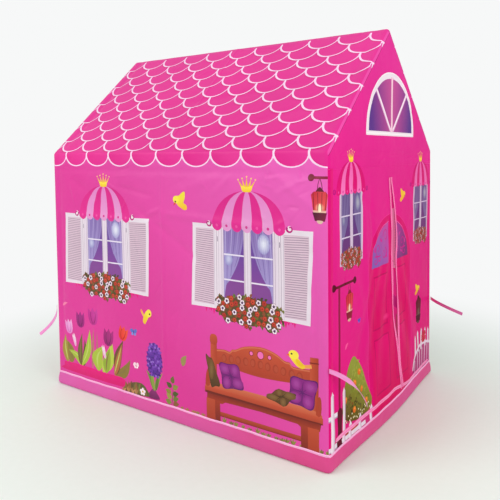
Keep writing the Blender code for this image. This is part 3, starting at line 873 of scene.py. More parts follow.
def frontWindow(seed):
    # A window beside the door: no shutters, darker panes and a smaller flower box.
    art, panes, bars, box = [], [], [], []
    drawCurtainedPanes(panes, bars)
    stamp(art, panes, 0, 0, shade=("3A1E48", 0.5))
    stamp(art, bars, 0, 0, shade=("9A5CA8", 0.26))
    drawAwning(art, ("D2006C", "DE0674", "EE62B0", "F476BC", "D41A80"), 5.5)
    drawCrown(art, 0, 189)
    drawFlowerBox(box, seed, 0.92)
    stamp(art, box, 0, -12, 0.8, shade=("B03A44", 0.2))
    return art


def drawPerchedBird(art, cx, cy):
    # A plump little bird that sits and looks left, placed by the middle of its head.
    def at(points):
        return [(cx + x, cy + y) for x, y in points]
    paint(art, at([(25, -18), (45, -14), (47, -22), (27, -26)]), "F0A050")
    paint(art, at(throughPoints([(-8, -7), (0, -17), (9, -24), (20, -28), (29, -25), (28, -19), (20, -13),
            (12, -6), (5, 2)], 3)), "F2C828", ("F8DE40", (cx + 10, cy - 28), (cx - 2, cy - 4)))
    paint(art, at(throughPoints([(6, -8), (16, -11), (26, -19), (18, -23), (8, -18)], 2)), "EDBE24")
    paint(art, at(oval(0, 0, 13.5, 10.5)), "F8E248")
    paint(art, at([(-12, 1), (-19, -3), (-11, -5)]), "E8622A")
    paint(art, at(oval(-5, 1.5, 2.8, 2.2, steps=8)), "35301C")


def drawFlyingBird(art, cx, cy, diving=False, size=1.0, flip=1, shade=None):
    # The same bird on the wing, seen with its head up or its head down.
    bird = []
    if diving:
        body = [(-12, 12), (-4, 13), (6, 20), (14, 24), (17, 20), (15, 6), (11, -5), (20, -10), (22, -20),
                (13, -23), (2, -18), (-8, -12), (-15, 0)]
        paintSmooth(bird, body, "F2B834", ("F0DC3C", (14, -20), (6, 8)))
        paint(bird, [(-19, -4), (-24, -13), (-13, -8)], "D8463C")
        paint(bird, oval(-14, 3, 10, 9.5), "F6E24A")
        paint(bird, oval(-16, -2.5, 2.6), "5A2E10")
    else:
        paintSmooth(bird, [(-9, -1), (-14, 8), (-20, 14), (-22, 8), (-17, 1), (-10, -6)], "F89A54",
                    ("F6C04A", (-20, 12), (-11, 0)))
        paintSmooth(bird, [(2, 12), (-8, 0), (-13, -14), (-11, -23), (-5, -25), (0, -18), (8, -5), (14, 2)],
                    "EEC02E", ("F6DC40", (-8, -20), (6, 2)))
        paint(bird, [(16, 1), (21, -6), (11, -3)], "D8463C")
        paint(bird, oval(9, 6, 9.5, 10.5), "F6E24A")
        paint(bird, oval(12, 4, 2.6), "5A2E10")
    stamp(art, bird, cx, cy, size, flip, shade)


def drawButterfly(art, cx, cy, size, tones, turn=0.0):
    for side in (-1, 1):
        paint(art, oval(cx + side * 7 * size, cy + 4 * size, 8 * size, 6 * size, turn + side * 28, 10),
              tones[0])
        paint(art, oval(cx + side * 5 * size, cy - 5 * size, 5 * size, 4 * size, turn - side * 30, 10),
              tones[1])
    paint(art, oval(cx, cy, 1.3 * size, 7 * size, turn, 8), tones[2])


def drawTulip(art, cx, cy, wide, high, tones, turn=0.0):
    # A closed bloom with three pointed tips, and the seams between its petals.
    c, s = math.cos(math.radians(turn)), math.sin(math.radians(turn))

    def placed(points):
        return [(cx + c * x * wide - s * y * high, cy + s * x * wide + c * y * high) for x, y in points]
    paint(art, placed([(-0.1, -0.5), (-0.34, -0.4), (-0.47, -0.18), (-0.5, 0.1), (-0.44, 0.46),
                       (-0.3, 0.36), (-0.2, 0.26), (-0.1, 0.38), (0.0, 0.52), (0.1, 0.38), (0.22, 0.26),
                       (0.32, 0.37), (0.46, 0.48), (0.5, 0.1), (0.46, -0.18), (0.34, -0.4), (0.1, -0.5)]),
          tones[0], (tones[1], *placed([(-0.5, -0.3), (0.4, 0.4)])))
    paint(art, placed(throughPoints([(0.02, -0.44), (0.24, -0.24), (0.3, 0.06), (0.2, 0.3), (0.06, 0.1),
            (0.02, -0.16)], 3)), tones[1], (tones[0], *placed([(0.2, 0.2), (0.05, -0.4)])))
    for side in (-1, 1):
        paint(art, placed(stroke([(side * 0.2, 0.27), (side * 0.25, 0.06), (side * 0.2, -0.2),
                                  (side * 0.06, -0.42)], 0.035, 0.09)), tones[2])


def drawLantern(art, cx, top, size=1.0):
    # Hanging lantern: chains, cap, red glass with dark ribs, a glow at its foot and a dark base.
    lantern = []
    for side in (-1, 1):
        paint(lantern, stroke([(side, 26), (side * 5, 14), (side * 7, 0)], 1.8), "6A1A2E")
    paintSmooth(lantern, [(-11, -2), (-5, 5), (0, 8), (5, 5), (11, -2), (7, -5), (-7, -5)], "5A1424")
    paint(lantern, [(-16, -43), (-22, -9), (-15, -2), (15, -2), (22, -9), (16, -43)], "BE1C34",
          ("E64C50", (-20, 0), (12, -34)))
    glow(lantern, 0, -37, 14, 12, "FCE0B8", "E65250", 5)
    for rib in (-17, -6, 6, 17):
        paint(lantern, [(rib - 0.9, -4), (rib + 0.9, -4), (rib * 0.84 + 0.9, -43), (rib * 0.84 - 0.9, -43)],
              "8A1A30")
    paint(lantern, [(-17, -43), (17, -43), (15, -48), (-15, -48)], "D8908A", ("F2C8B0", (0, -42), (0, -49)))
    paintSmooth(lantern, [(0, -28), (-4, -38), (-3, -46), (3, -46), (4, -38)], "FBEBC8")
    paint(lantern, [(-18, -48), (18, -48), (13, -67), (-13, -67)], "551330",
          ("7A1C3C", (-10, -50), (8, -66)))
    paintSmooth(lantern, [(-8, -66), (8, -66), (5, -72), (-5, -72)], "E0BFA8")
    stamp(art, lantern, cx, top, size)


def drawGrass(art, x0, x1, foot, high, seed, tones=("8A9A34", "A8A83C", "6E7A2C")):
    # Tufts of three short leaves.
    rng = random.Random(seed)
    x = x0
    while x < x1:
        tall = high * rng.uniform(0.5, 1.0)
        for lean in (-7, 0, 7):
            paint(art, blade(x, foot, x + lean * rng.uniform(0.6, 1.3),
                             foot + tall * (1 if lean == 0 else 0.75), 4.2, 0.8), rng.choice(tones))
        x += rng.uniform(11, 24)


def drawPicket(art, cx, foot, top, wide=15):
    paint(art, [(cx - wide / 2, foot), (cx + wide / 2, foot), (cx + wide / 2, top - 10), (cx, top),
                (cx - wide / 2, top - 10)], "EBDDE8",
          ("D9BFD2", (cx - wide / 3, foot), (cx + wide / 2, foot)))
    paint(art, block(cx + wide / 2 - 3, foot, cx + wide / 2, top - 11), "C9A5BF")


# Where the larger things stand on the side walls
sidePrint = {
    "windows": ((-243, 420), (252, 420)), "lantern": (444, 617, 0.98),
    "hyacinth": -57, "perchedBird": (376, 247.5),
    "wood": {"light": "C24E32", "plain": "AC3C24", "dark": "80261A", "edge": "D06C4C"},
    # Cushions: main tone, seam, light patch
    "purple": ("8A1E7E", "5C1264", "AA449E"), "olive": ("6E4A26", "4A3218", "84643A"),
}
tiles = {"pitch": 91.2, "rowPitch": 44.6}


def tileEdge(cusp, foot, drop, fullness):
    # The round lower edge of one roof tile, from cusp to cusp.
    half = tiles["pitch"] / 2
    turns = [math.pi * j / 14 for j in range(15)]
    return [(cusp + half - half * math.cos(a), foot - drop * math.sin(a) ** fullness) for a in turns]


def drawTileHem(art):
    # The row of roof tiles that hangs over the top of the wall.
    cusps = [-493.6 + tiles["pitch"] * k for k in range(-1, 12)]
    for cusp in cusps:
        paint(art, [(cusp, 720)] + tileEdge(cusp, 702, 35, 0.85) + [(cusp + tiles["pitch"], 720)],
              wallInk["overhang"], ("E62C94", (cusp + 20, 668), (cusp + 70, 712)))
    for cusp in cusps:
        paint(art, stroke(tileEdge(cusp, 702, 35, 0.85),
                          [3.0 + 1.8 * math.exp(-((j - 2) / 3) ** 2) for j in range(15)]),
              wallInk["scallop"])
        paint(art, [(cusp - 3.2, 720), (cusp + 3.2, 720), (cusp + 2.4, 690), (cusp, 685),
                    (cusp - 2.4, 690)], wallInk["scallop"])


def drawLeaves(art, leaves):
    for *shape, tone in leaves:
        paint(art, blade(*shape), tone)


def drawTulipBed(art):
    # Tulips behind a low planter
    leaves = ((-420, 72, -428, 158, 30, 6, "A88A3A"), (-402, 72, -420, 140, 34, -8, "8C7A34"),
              (-350, 74, -415, 112, 22, -10, "A9BB3C"), (-358, 74, -352, 172, 22, 6, "6C5A2A"),
              (-346, 74, -340, 156, 18, -4, "5A4A24"), (-352, 76, -318, 188, 26, -10, "A6BC3A"),
              (-306, 74, -300, 196, 12, 2, "C76A7A"), (-290, 74, -286, 190, 9, -2, "C0607A"),
              (-282, 74, -262, 150, 46, 12, "A9BC3C"), (-262, 74, -222, 168, 40, -8, "B4C646"),
              (-248, 74, -232, 150, 30, 4, "93A834"), (-212, 74, -150, 132, 30, -12, "8A7434"),
              (-206, 78, -176, 182, 30, 8, "6E4A2A"), (-214, 74, -182, 170, 20, 0, "B06A3C"))
    for x0, y0, x1, y1, wide, bend, tone in leaves:
        vein = "BCCB62" if tone[0] in "AB" else "86703A"
        drawLeaves(art, ((x0, y0, x1, y1, wide, bend, tone),
                         (x0, y0 + 8, mix(x0, x1, 0.9), mix(y0, y1, 0.9), wide * 0.16, bend, vein)))
    for x, y in ((-388, 148), (-256, 136)):
        drawTulip(art, x, y, 12, 40, ("EEBEDC", "F6DCEA", "D890BC"), 16)
    tulips = ((-410, 185, 32, 44, ("E07CC8", "F0B0E0", "CC66B2"), 10),
              (-358, 213, 36, 48, ("8E1470", "A82484", "701058"), 0),
              (-303, 230, 42, 50, ("B41C84", "CC389C", "96146C"), 4),
              (-237, 180, 42, 50, ("8E1268", "AE227C", "6C0E54"), -4),
              (-176, 202, 36, 42, ("E22A1C", "F0503A", "B81A20"), -16))
    for tulip in tulips:
        drawTulip(art, *tulip)
    paintSmooth(art, [(-432, 50), (-436, 62), (-428, 75), (-330, 77), (-240, 75), (-186, 76), (-170, 66),
                      (-166, 50)], "E6047C", ("D6006E", (-300, 78), (-300, 50)))


def drawHyacinth(art, rng):
    # A hyacinth on its bulb, with rows of small florets
    middle = sidePrint["hyacinth"]
    paintSmooth(art, [(-84, 44), (-76, 60), (-62, 72), (-50, 62), (-40, 46)], "6E1A58",
                ("8A2A70", (-60, 44), (-56, 70)))
    drawLeaves(art, ((-60, 66, -88, 118, 13, -5, "6E8A34"), (-54, 66, -28, 120, 12, 6, "7E9A3C"),
                     (-58, 66, -66, 126, 11, 3, "8AA040"), (-54, 66, -46, 118, 10, -2, "5E7A30")))
    paintSmooth(art, [(middle, 104), (-80, 122), (-84, 150), (-76, 180), (middle, 198), (-38, 182),
                      (-29, 150), (-34, 122)], "5A2090", ("7434A8", (-80, 110), (-36, 190)), 4)
    for row in range(15):
        for k in range(8):
            y = 107 + row * 6.1
            wide = 26 * math.sin(math.pi * (0.16 + 0.70 * row / 14)) ** 0.7
            x = middle + (k - 3.5) / 3.5 * wide + rng.uniform(-1.5, 1.5) + (2 if row % 2 else -1)
            paint(art, blossom(x, y + rng.uniform(-1.5, 1.5), 3.7, 5, rng.uniform(0, 6), 0.5),
                  rng.choice(("6A32A8", "7E46BC", "4E2088", "5C2A9A", "9A6CD0", "43197A")))


def drawFootPlants(art, rng):
    # Low bush with a white flower, a small plant and tufts of grass along the foot
    paintSmooth(art, [(-178, 42), (-164, 60), (-140, 72), (-110, 76), (-90, 66), (-82, 44)], "6A4A30",
                ("5A5A2C", (-160, 44), (-100, 74)))
    for k in range(12):
        x = -168 + 7.2 * k
        paint(art, blade(x, 46, x + rng.uniform(-9, 9), 66 + 10 * math.sin(math.pi * k / 11), 8, 2),
              rng.choice(("7A6A34", "5A4A28", "6E7A34", "8A5A34")))
    paint(art, blossom(-103, 54, 11, 5, 0.3), "F6E2EC")
    paint(art, oval(-103, 54, 3, steps=8), "D8A03A")
    paintLine(art, [(4, 44), (6, 70), (10, 98)], 2.2, 1.2, "5E5A28")
    for x, y, a, tone in ((6, 100, 80, "6A6A30"), (4, 90, 150, "4E5A28"), (8, 86, 30, "8E8A40"),
                          (2, 74, 160, "8A8A3A"), (7, 70, 20, "4E5A28"), (3, 60, 150, "9A9A48"),
                          (8, 56, 25, "6E7A34"), (2, 48, 165, "7E8A3A"), (8, 46, 10, "8A5A34")):
        paint(art, blade(x, y, x + 21 * math.cos(math.radians(a)), y + 21 * math.sin(math.radians(a)), 14,
                         1), tone)
    drawGrass(art, -176, -120, 40, 20, 3, ("C88A5A", "A87A4A"))
    drawGrass(art, 40, 112, 40, 14, 4, ("B8704A", "9A7A40", "8A8240"))


def drawBench(art):
    # Garden bench: each board has a darker outline
    wood = sidePrint["wood"]

    def board(loop, tone, fade=None):
        paint(art, loop, tone, fade)
        paint(art, stroke(loop + loop[:2], 2.0), wood["dark"])
    board(block(162, 55, 398, 66), "9A3420", ("B4482E", (200, 55), (200, 66)))
    drawGrass(art, 160, 470, 40, 16, 6, ("8A7A3C", "8A8A3C", "7A6A34"))
    for x, top in ((135, 236), (418, 250)):
        board(block(x, 100, x + 20, top), wood["plain"], (wood["light"], (x + 20, 180), (x + 2, 180)))
    board(throughPoints([(136, 230), (133, 244), (138, 254), (152, 254), (157, 244), (154, 230)], 2),
          wood["light"], (wood["plain"], (145, 254), (150, 230)))
    paint(art, block(417, 236, 439, 239), wood["dark"])
    crest = throughPoints([(155, 219), (178, 222), (195, 220), (203, 227), (214, 229), (240, 241),
                           (285, 248), (328, 241), (352, 229), (366, 228), (376, 220), (418, 222)], 3,
                          False)
    foot = throughPoints([(418, 186), (360, 181), (285, 176), (210, 179), (155, 182)], 3, False)
    board(crest + foot, wood["plain"], (wood["light"], (285, 182), (285, 240)))
    paint(art, stroke([(x, y - 3.4) for x, y in crest], 3.0), wood["edge"])
    for k in range(11):
        x, y = 178 + 21.4 * k, 201 + 5 * math.sin(math.pi * k / 10)
        paint(art, oval(x, y, 8, 10.5), "A43A24")
        paint(art, oval(x + (1.5 if k % 2 else -1), y - 0.5, 5.4, 7.6), "B24830")
    for x, r in ((285, 8.5), (259, 4.6), (311, 4.6)):
        paint(art, oval(x, 228, r + 1.6, steps=14), wood["dark"])
        paint(art, oval(x, 228, r, steps=14), "F06AB4")
    board([(118, 126), (150, 135), (418, 135), (448, 126), (448, 119), (118, 119)], wood["light"],
          (wood["edge"], (280, 118), (280, 134)))
    board(block(116, 106, 450, 120), wood["plain"], (wood["light"], (200, 106), (200, 120)))
    board([(124, 106), (446, 106), (442, 88), (396, 86), (386, 92), (285, 95), (182, 92), (172, 86),
           (124, 88)], wood["plain"], (wood["dark"], (285, 84), (285, 106)))
    paint(art, stroke([(118, 107), (200, 108), (300, 108), (448, 106)], [5.5, 5, 4, 3]), "6E2016")
    for x, wide, tone in ((148, 18, "dark"), (122, 28, "plain"), (394, 18, "dark"), (412, 28, "plain")):
        lighter = wood["light" if tone == "plain" else "plain"]
        board(block(x, 36, x + wide, 92), wood[tone], (lighter, (x, 42), (x, 110)))
    for x in (119, 432):
        board(throughPoints([(x, 124), (x + 2, 152), (x + 8, 166), (x + 14, 158), (x + 13, 124)], 2),
              wood["plain"])


def drawCushion(art, corners, tone, dark, light, tufted=True):
    # A cushion with pointed corners, drawn in at its middle.
    middle = Vector((sum(c[0] for c in corners) / 4, sum(c[1] for c in corners) / 4))
    rims = [(Vector(a) + Vector(b)) / 2 for a, b in zip(corners, corners[1:] + corners[:1])]

    def outline(size):
        loop = []
        for corner, before, rim in zip(corners, rims[-1:] + rims[:-1], rims):
            tip = Vector(corner)
            loop += [tip.lerp(before, 0.36), tip.lerp(middle, 0.09), tip.lerp(rim, 0.36),
                     rim.lerp(middle, 0.07)]
        return throughPoints([tuple(middle + (p - middle) * size) for p in loop])
    paint(art, outline(1.0), dark)
    paint(art, outline(0.93), tone, (dark, tuple(middle + Vector((4, 16))), corners[3]))
    if not tufted:
        glow(art, middle.x - 3, middle.y + 4, 9, 30, light, tone, 4)
        return
    for corner in corners:
        heart = middle + (Vector(corner) - middle) * 0.5
        glow(art, heart.x, heart.y, abs(corner[0] - middle.x) * 0.36 + 6,
             abs(corner[1] - middle.y) * 0.36 + 5, light, tone, 4)
    for rim, bend in zip(rims, (1, -1, 1, -1)):
        run = rim - middle
        aside = Vector((-run.y, run.x)) * 0.05 * bend
        seam = [tuple(middle + run * t + aside * math.sin(math.pi * t)) for t in (0.02, 0.25, 0.5, 0.78)]
        paintLine(art, seam, 2.6, 0.5, dark)
    for corner in corners:
        paintLine(art, [tuple(middle.lerp(Vector(corner), t)) for t in (0.02, 0.14, 0.26)], 2.0, 0.4, dark)


def sideArt():
    art = []
    drawTileHem(art)
    drawTulipBed(art)
    rng = random.Random(5)
    drawHyacinth(art, rng)
    drawFootPlants(art, rng)
    drawBench(art)
    drawCushion(art, [(118, 203), (142, 192), (167, 128), (136, 119)], *sidePrint["olive"], tufted=False)
    drawCushion(art, [(160, 189), (220, 193), (240, 134), (173, 125)], *sidePrint["purple"])
    drawCushion(art, [(368, 200), (439, 199), (426, 129), (360, 137)], *sidePrint["purple"])
    drawCushion(art, [(298, 133), (333, 161), (386, 159), (353, 122)], *sidePrint["olive"])
    drawFlyingBird(art, -83, 268)
    drawFlyingBird(art, 44, 580, diving=True)
    drawPerchedBird(art, *sidePrint["perchedBird"])
    drawButterfly(art, -133, 213, 0.95, ("5E6CC4", "7A8CDC", "3A2E6A"), 20)
    drawButterfly(art, -127, 121, 0.8, ("F8D8E6", "FBE8F0", "D8A0A8"), 70)
    drawLeaves(art, ((-440, 244, -414, 256, 8, 2, "F07AA8"), (42, 154, 56, 184, 17, 3, "9A8A52")))
    # Wall lantern on its bracket, by the corner
    paint(art, block(423, 642, 480, 648), "8A1C3C")
    paint(art, oval(423, 645, 8), "7A1A34")
    drawLantern(art, *sidePrint["lantern"])
    window = windowSet(11)
    for spot in sidePrint["windows"]:
        stamp(art, window, *spot)
    return art


def fanlightArt(art, cx, foot):
    # Half-round gable window: frame, glass that darkens outwards, two slanting bars and a middle one.
    outer, glass = 165.0, 151.0
    arch = arc(cx, foot, outer, outer - 3, math.pi, 36)
    paint(art, arch, "EEDCEA")
    paint(art, stroke(arch, 3.0), "F6E8F2")
    for side in (-1, 1):
        pane = [(cx, foot + 9)] + arc(cx, foot + 9, side * glass, glass - 13, math.pi / 2, 14)
        paint(art, pane, "C04C94", ("5C3286", (cx + side * 6, foot + 60), (cx + side * 132, foot + 40)))
        paint(art, stroke([(cx + side * 2, foot + 6), (cx + side * 50, foot + 57),
                           (cx + side * 104, foot + 112)], 10), "E6B6D8")
        paint(art, stroke([(cx + side * 1, foot + 8), (cx + side * 50, foot + 59),
                           (cx + side * 103, foot + 113)], 5), "F8E2F2")
    paint(art, block(cx - 6.5, foot, cx + 6.5, foot + outer - 14), "E49AC4")
    paint(art, block(cx - 3, foot, cx + 3, foot + outer - 14), "FAD4E0")
    paint(art, block(cx - outer, foot - 2, cx + outer, foot + 9), "EEDCE8")
    paint(art, block(cx - outer, foot + 2, cx + outer, foot + 5), "F8ECF4")


def gableEdgeArt(art):
    # The roof cloth is turned over the gable's edge and sewn down, and its tile lines end in ticks there.
    # The turned-over strip is painted lighter than the roof: a painted highlight where the cloth rounds the
    # rafter.
    for side in (-1, 1):
        foot, top = Vector((side * sideLine, eaveLine)), Vector((0, ridgeLine))
        up = (top - foot).normalized()
        inward = Vector((-side * up.y, side * up.x))
        inward = inward if inward.y < 0 else -inward

        def at(points):
            return [tuple(foot + up * s + inward * w) for s, w in points]
        # Painted highlight: the turned-over strip in a lighter pink than the roof, with a dark line at its
        # inner edge.
        paint(art, at([(-6, -2), (slope * 1000 + 6, -2), (slope * 1000 + 6, 9), (-6, 9)]), "EC4FAA")
        paint(art, at([(-6, 9), (slope * 1000 + 6, 9), (slope * 1000 + 6, 10.6), (-6, 10.6)]), "B01868")
        for k in range(5):
            s = 49.6 + 89.2 * k
            paint(art, at([(s + 3.4, -2), (s + 5.4, 4), (s + 7.6, 9.6), (s + 4.4, 11), (s + 1.8, 8.4),
                           (s - 13, 9.2), (s - 15, 7.6), (s - 3, 4), (s - 1.2, -2)]), wallInk["scallop"])


# Where the larger things stand on the front
frontPrint = {
    "door": {"middle": 11, "springing": 399, "halfWidth": 149, "rise": 136, "foot": 40},
    "fanlight": (17, 742), "windows": ((-231, 526, None), (247, 519, ("A8206C", 0.12))),
    "windowSize": (0.8, 0.925), "streetLantern": (-242, 378), "fenceLantern": (231, 262), "tree": -22,
}


def drawDoor(art):
    # Arched double door with ornamental glass
    door = frontPrint["door"]
    middle, foot = door["middle"], door["foot"]

    def arch(inset):
        rx, ry = door["halfWidth"] - inset, door["rise"] - inset
        return ([(middle - rx, foot)] + arc(middle, door["springing"], -rx, ry, math.pi, 30)
                + [(middle + rx, foot)])
    paint(art, arch(-2), "E6308E")
    paint(art, arch(0), "D8046C")
    paint(art, arch(17), "DC086E", ("D6045E", (-40, 500), (60, 100)))
    for side in (-1, 1):
        def at(points):
            return [(middle + side * x, y) for x, y in points]
        curve = [(126 * math.cos(math.radians(a)), 404 + 112 * math.sin(math.radians(a)))
                 for a in range(4, 84, 8)]
        darker = ("8458AC" if side < 0 else "7A2E72", *at([(20, 500), (112, 425)]))
        paint(art, at([(16, 408), (126, 408), *curve, (16, 515)]), "C0489E" if side < 0 else "A83A92",
              darker)
        paintLine(art, at([(14, 517), (50, 510), (84, 492), (112, 456)]), 2.4, 1.2, "D860B0")
        for cx, cy, r, turn in ((36, 482, 20, 0), (44, 438, 17, 2.2), (84, 452, 20, 4.0),
                                (98, 424, 13, 1.0)):
            spiral = [(cx + r * (1 - k / 17) * math.cos(turn + k * 0.52),
                       cy + r * (1 - k / 17) * math.sin(turn + k * 0.52)) for k in range(16)]
            paintLine(art, at(spiral), 3.4, 1.6, "C81C86")
        for cx, cy, a in ((60, 470, 40), (70, 428, -20), (28, 424, 80), (104, 446, 100)):
            tip = (cx + 16 * math.cos(math.radians(a)), cy + 16 * math.sin(math.radians(a)))
            paint(art, blade(*at([(cx, cy)])[0], *at([tip])[0], 7, 2), "CC2A90")
        for low, high in ((84, 226), (248, 386)):
            paint(art, at([(22, low), (112, low), (112, high), (22, high)]), "C2045A")
            paint(art, at([(26, low + 5), (109, low + 4), (109, high - 4), (26, high - 4)]), "E00870",
                  ("D4045E", *at([(30, high), (100, low)])))
    # Painted highlight: a soft light spot on the left leaf, where the door's cloth catches the light.
    glow(art, -22, 268, 24, 10, "EA3A84", "DC086A", 5)


def drawStreetLamp(art):
    # A post with a crossbar, and a lantern that hangs from it
    paint(art, block(-299.5, 60, -290.5, 402), "7A0E36", ("A01844", (-300, 200), (-290, 200)))
    paintSmooth(art, [(-306, 40), (-305, 80), (-307, 112), (-303, 124), (-295, 128), (-286, 124),
                      (-283, 112), (-285, 80), (-283, 40)], "5C1026")
    paint(art, block(-318, 399, -214, 405), "6A1028")
    for x in (-318, -214):
        paint(art, oval(x, 402, 8.5), "5A0E24")
    lit = []
    drawLantern(lit, 0, 0)
    stamp(art, lit, *frontPrint["streetLantern"], 0.92, shade=("C4142E", 0.28))


def drawOrangeTree(art):
    # Orange tree in a pot: a crown of small leaves, darker at its foot, with oranges and white blossom
    tree = []
    paintSmooth(tree, [(-278, 112), (-266, 158), (-244, 204), (-216, 224), (-188, 208), (-164, 178),
                       (-146, 148), (-126, 112), (-116, 90), (-134, 70), (-176, 66), (-222, 74),
                       (-258, 88)], "5A4218", ("8E9236", (-250, 84), (-186, 178)), 4)
    rng = random.Random(8)
    dark = ("4A401A", "5A4C20", "66581E", "3E3A1C", "7A4A24")
    olive, light = ("767A2A", "7E7E30", "6A6C24"), ("8E9236", "868A30", "9A9C40")
    for _ in range(210):
        t, w = rng.random(), rng.uniform(-1, 1)
        y = mix(74, 204, t)
        x = -198 + 6 * (1 - t) + w * mix(70, 15, t ** 1.2)
        shade = (x + 200) * 0.8 + (y - 142) * 1.1 + rng.uniform(-22, 22)
        tone = rng.choice(dark if shade < -34 else olive if shade < 4 else light)
        a = rng.uniform(0.2, 2.9)
        paint(tree, blade(x, y, x + 8 * math.cos(a), y + 7 * math.sin(a), 5.0, 0.8), tone)
    for x, y in ((-182, 178), (-206, 158), (-258, 134), (-214, 98), (-146, 98), (-236, 172), (-172, 134)):
        paint(tree, oval(x, y, 7.6), "CE5A22", ("E87E2C", (x - 5, y - 5), (x + 5, y + 5)))
        glow(tree, x + 2, y + 2.5, 3.6, 3, "F7B05A", "E87E2C", 2)
    for k in range(22):
        paint(tree, blossom(-264 + 6.4 * k + rng.uniform(-3, 3), 82 + rng.uniform(-10, 12), 2.3, 5,
                            rng.uniform(0, 6)), "F0E2BC")
    paint(tree, [(-250, 34), (-202, 34), (-196, 56), (-258, 56)], "A0301F",
          ("B8402C", (-250, 34), (-210, 56)))
    stamp(art, tree, frontPrint["tree"], 0, 1.0, 0.94)


def drawFences(art):
    # White fence at the left, and a rounded gate with flowers at the right
    for low, high in ((112, 124), (42, 54)):
        paint(art, block(-350, low, -306, high), "E2D4E2")
        paint(art, block(-350, low, -306, low + 3), "B49CB4")
    paint(art, block(-283, 42, -165, 51), "E2D4E2")
    for x, top, wide in ((-327, 176, 17), (-273, 168, 13), (-243, 80, 13), (-193, 80, 13), (-135, 80, 13)):
        drawPicket(art, x, 38, top, wide)
    paintSmooth(art, [(170, 52), (184, 84), (208, 104), (250, 112), (300, 108), (345, 96), (345, 40),
                      (170, 40)], "A82A70", ("B8407E", (180, 50), (320, 100)))
    for k in range(7):
        x = 190 + 24 * k
        paint(art, stroke([(x, 36), (x + 1, 64), (x + 2, 102 if k else 84)], [3.0, 5.0, 5.0]), "D4A4C4",
              ("EAD4E2", (x, 50), (x, 100)))
    for x, top in ((198, 158), (228, 164), (256, 166), (292, 160), (324, 150)):
        drawPicket(art, x, 100, top, 12)
    rail = throughPoints([(172, 60), (186, 88), (210, 106), (250, 115), (300, 111), (345, 98)], 3, False)
    paint(art, stroke(rail, 8), "E8D0E2")
    for k in range(9):
        a = 0.7 * k
        paint(art, blossom(278 + 14 * math.cos(a) * (k > 0), 134 + 11 * math.sin(a) * (k > 0), 9, 6, a),
              "B8183A" if k % 2 else "D0304A")


def frontArt():
    art = []
    paint(art, block(-345, 30, -322, 664), "DC0E76", ("E01678", (-345, 100), (-324, 100)))
    gableEdgeArt(art)
    fanlightArt(art, *frontPrint["fanlight"])
    window = frontWindow(23)
    for x, y, shade in frontPrint["windows"]:
        stamp(art, window, x, y, *frontPrint["windowSize"], shade)
    drawDoor(art)
    drawStreetLamp(art)
    drawOrangeTree(art)
    drawFences(art)
    dim = []
    drawLantern(dim, 0, 0)
    stamp(art, dim, *frontPrint["fenceLantern"], 1.05, shade=("480A20", 0.9))
    drawFlyingBird(art, 96, 580, diving=True, flip=-1.1, size=0.78, shade=("F0902C", 0.45))
    drawFlyingBird(art, 219, 292, diving=True, flip=-1.2, size=0.7, shade=("E07A2A", 0.45))
    drawButterfly(art, -190, 300, 0.55, ("5A4AB8", "6A5AC4", "4A2A5A"), 10)
    drawLeaves(art, ((-266, 252, -250, 264, 7, 2, "F0559A"),))
    return art


def rearArt():
    # The photo doesn't show this end, so it repeats the common parts: windows, flowers and birds.
    art = []
    gableEdgeArt(art)
    fanlightArt(art, 0, 742)
    window = windowSet(31)
    stamp(art, window, 0, 440, 0.95)
    for x, y, wide, high, tones in ((-262, 190, 40, 48, ("A01C78", "BE3490", "7A1460")),
                                    (-214, 222, 40, 50, ("E22A1C", "F0503A", "B81A20")),
                                    (-166, 178, 38, 46, ("E884CE", "F6BEE6", "D26AB8")),
                                    (214, 190, 40, 48, ("D01F80", "E445A0", "B01A6E")),
                                    (262, 216, 40, 50, ("A01C78", "BE3490", "7A1460"))):
        for lean, tone in ((-26, "A6BC3A"), (22, "8A9A34"), (4, "6C6A2A")):
            paint(art, blade(x, 60, x + lean, y - 20, 24, lean / 4), tone)
        drawTulip(art, x, y, wide, high, tones)
    for x0 in (-300, 170):
        paintSmooth(art, [(x0, 48), (x0 - 4, 62), (x0 + 6, 76), (x0 + 124, 76), (x0 + 134, 62),
                          (x0 + 130, 48)], "E6047C")
    drawFlyingBird(art, 120, 260)
    drawFlyingBird(art, -230, 560, diving=True, flip=-1)
    drawButterfly(art, -90, 230, 0.9, ("6E7AC8", "8A9ADC", "4A3A6A"), 20)
    drawGrass(art, -140, 150, 40, 22, 9)
    return art


def roofArt():
    # Rows of round-ended tiles. t runs from the left eave over the ridge to the right eave.
    art = []
    top = slope * 1000
    pitch, rowPitch = tiles["pitch"], tiles["rowPitch"]
    rows = [(5 + rowPitch * row, -402 + (pitch / 2 if row % 2 else 0)) for row in range(11)]
    for side in (-1, 1):
        def flat(points):
            return [(x, side * (top - s)) for x, s in points]
        for foot, start in rows:
            for k in range(-2, 12):
                edge = tileEdge(start + pitch * k, foot, rowPitch - 3, 0.9)
                if foot - rowPitch < -10:
                    continue
                if max(s for _, s in edge) > top + 2:
                    edge = [(x, min(s, top + 1)) for x, s in edge]
                for drop, width, tone in ((5.5, 5.0, "DC2C88"), (2.8, 3.4, "D01C7A")):
                    paint(art, flat(stroke([(x, s - drop) for x, s in edge], width)), tone)
                widths = [3.5 + 1.8 * math.exp(-((j - 2.5) / 4) ** 2) for j in range(15)]
                paint(art, flat(stroke(edge, widths)), wallInk["scallop"])
        for foot, start in rows:
            for k in range(-1, 12):
                cusp = start + pitch * k
                point = ((-1.6, 3), (1.6, 3), (3.4, -4), (2.2, -13), (0, -17), (-2.2, -13), (-3.4, -4))
                paint(art, flat([(cusp + x, foot + s) for x, s in point]), wallInk["scallop"])
    return art


def groundInk(first, second=None, start=None, end=None):
    return (ink(first), ink(second) if second else None, start, end)


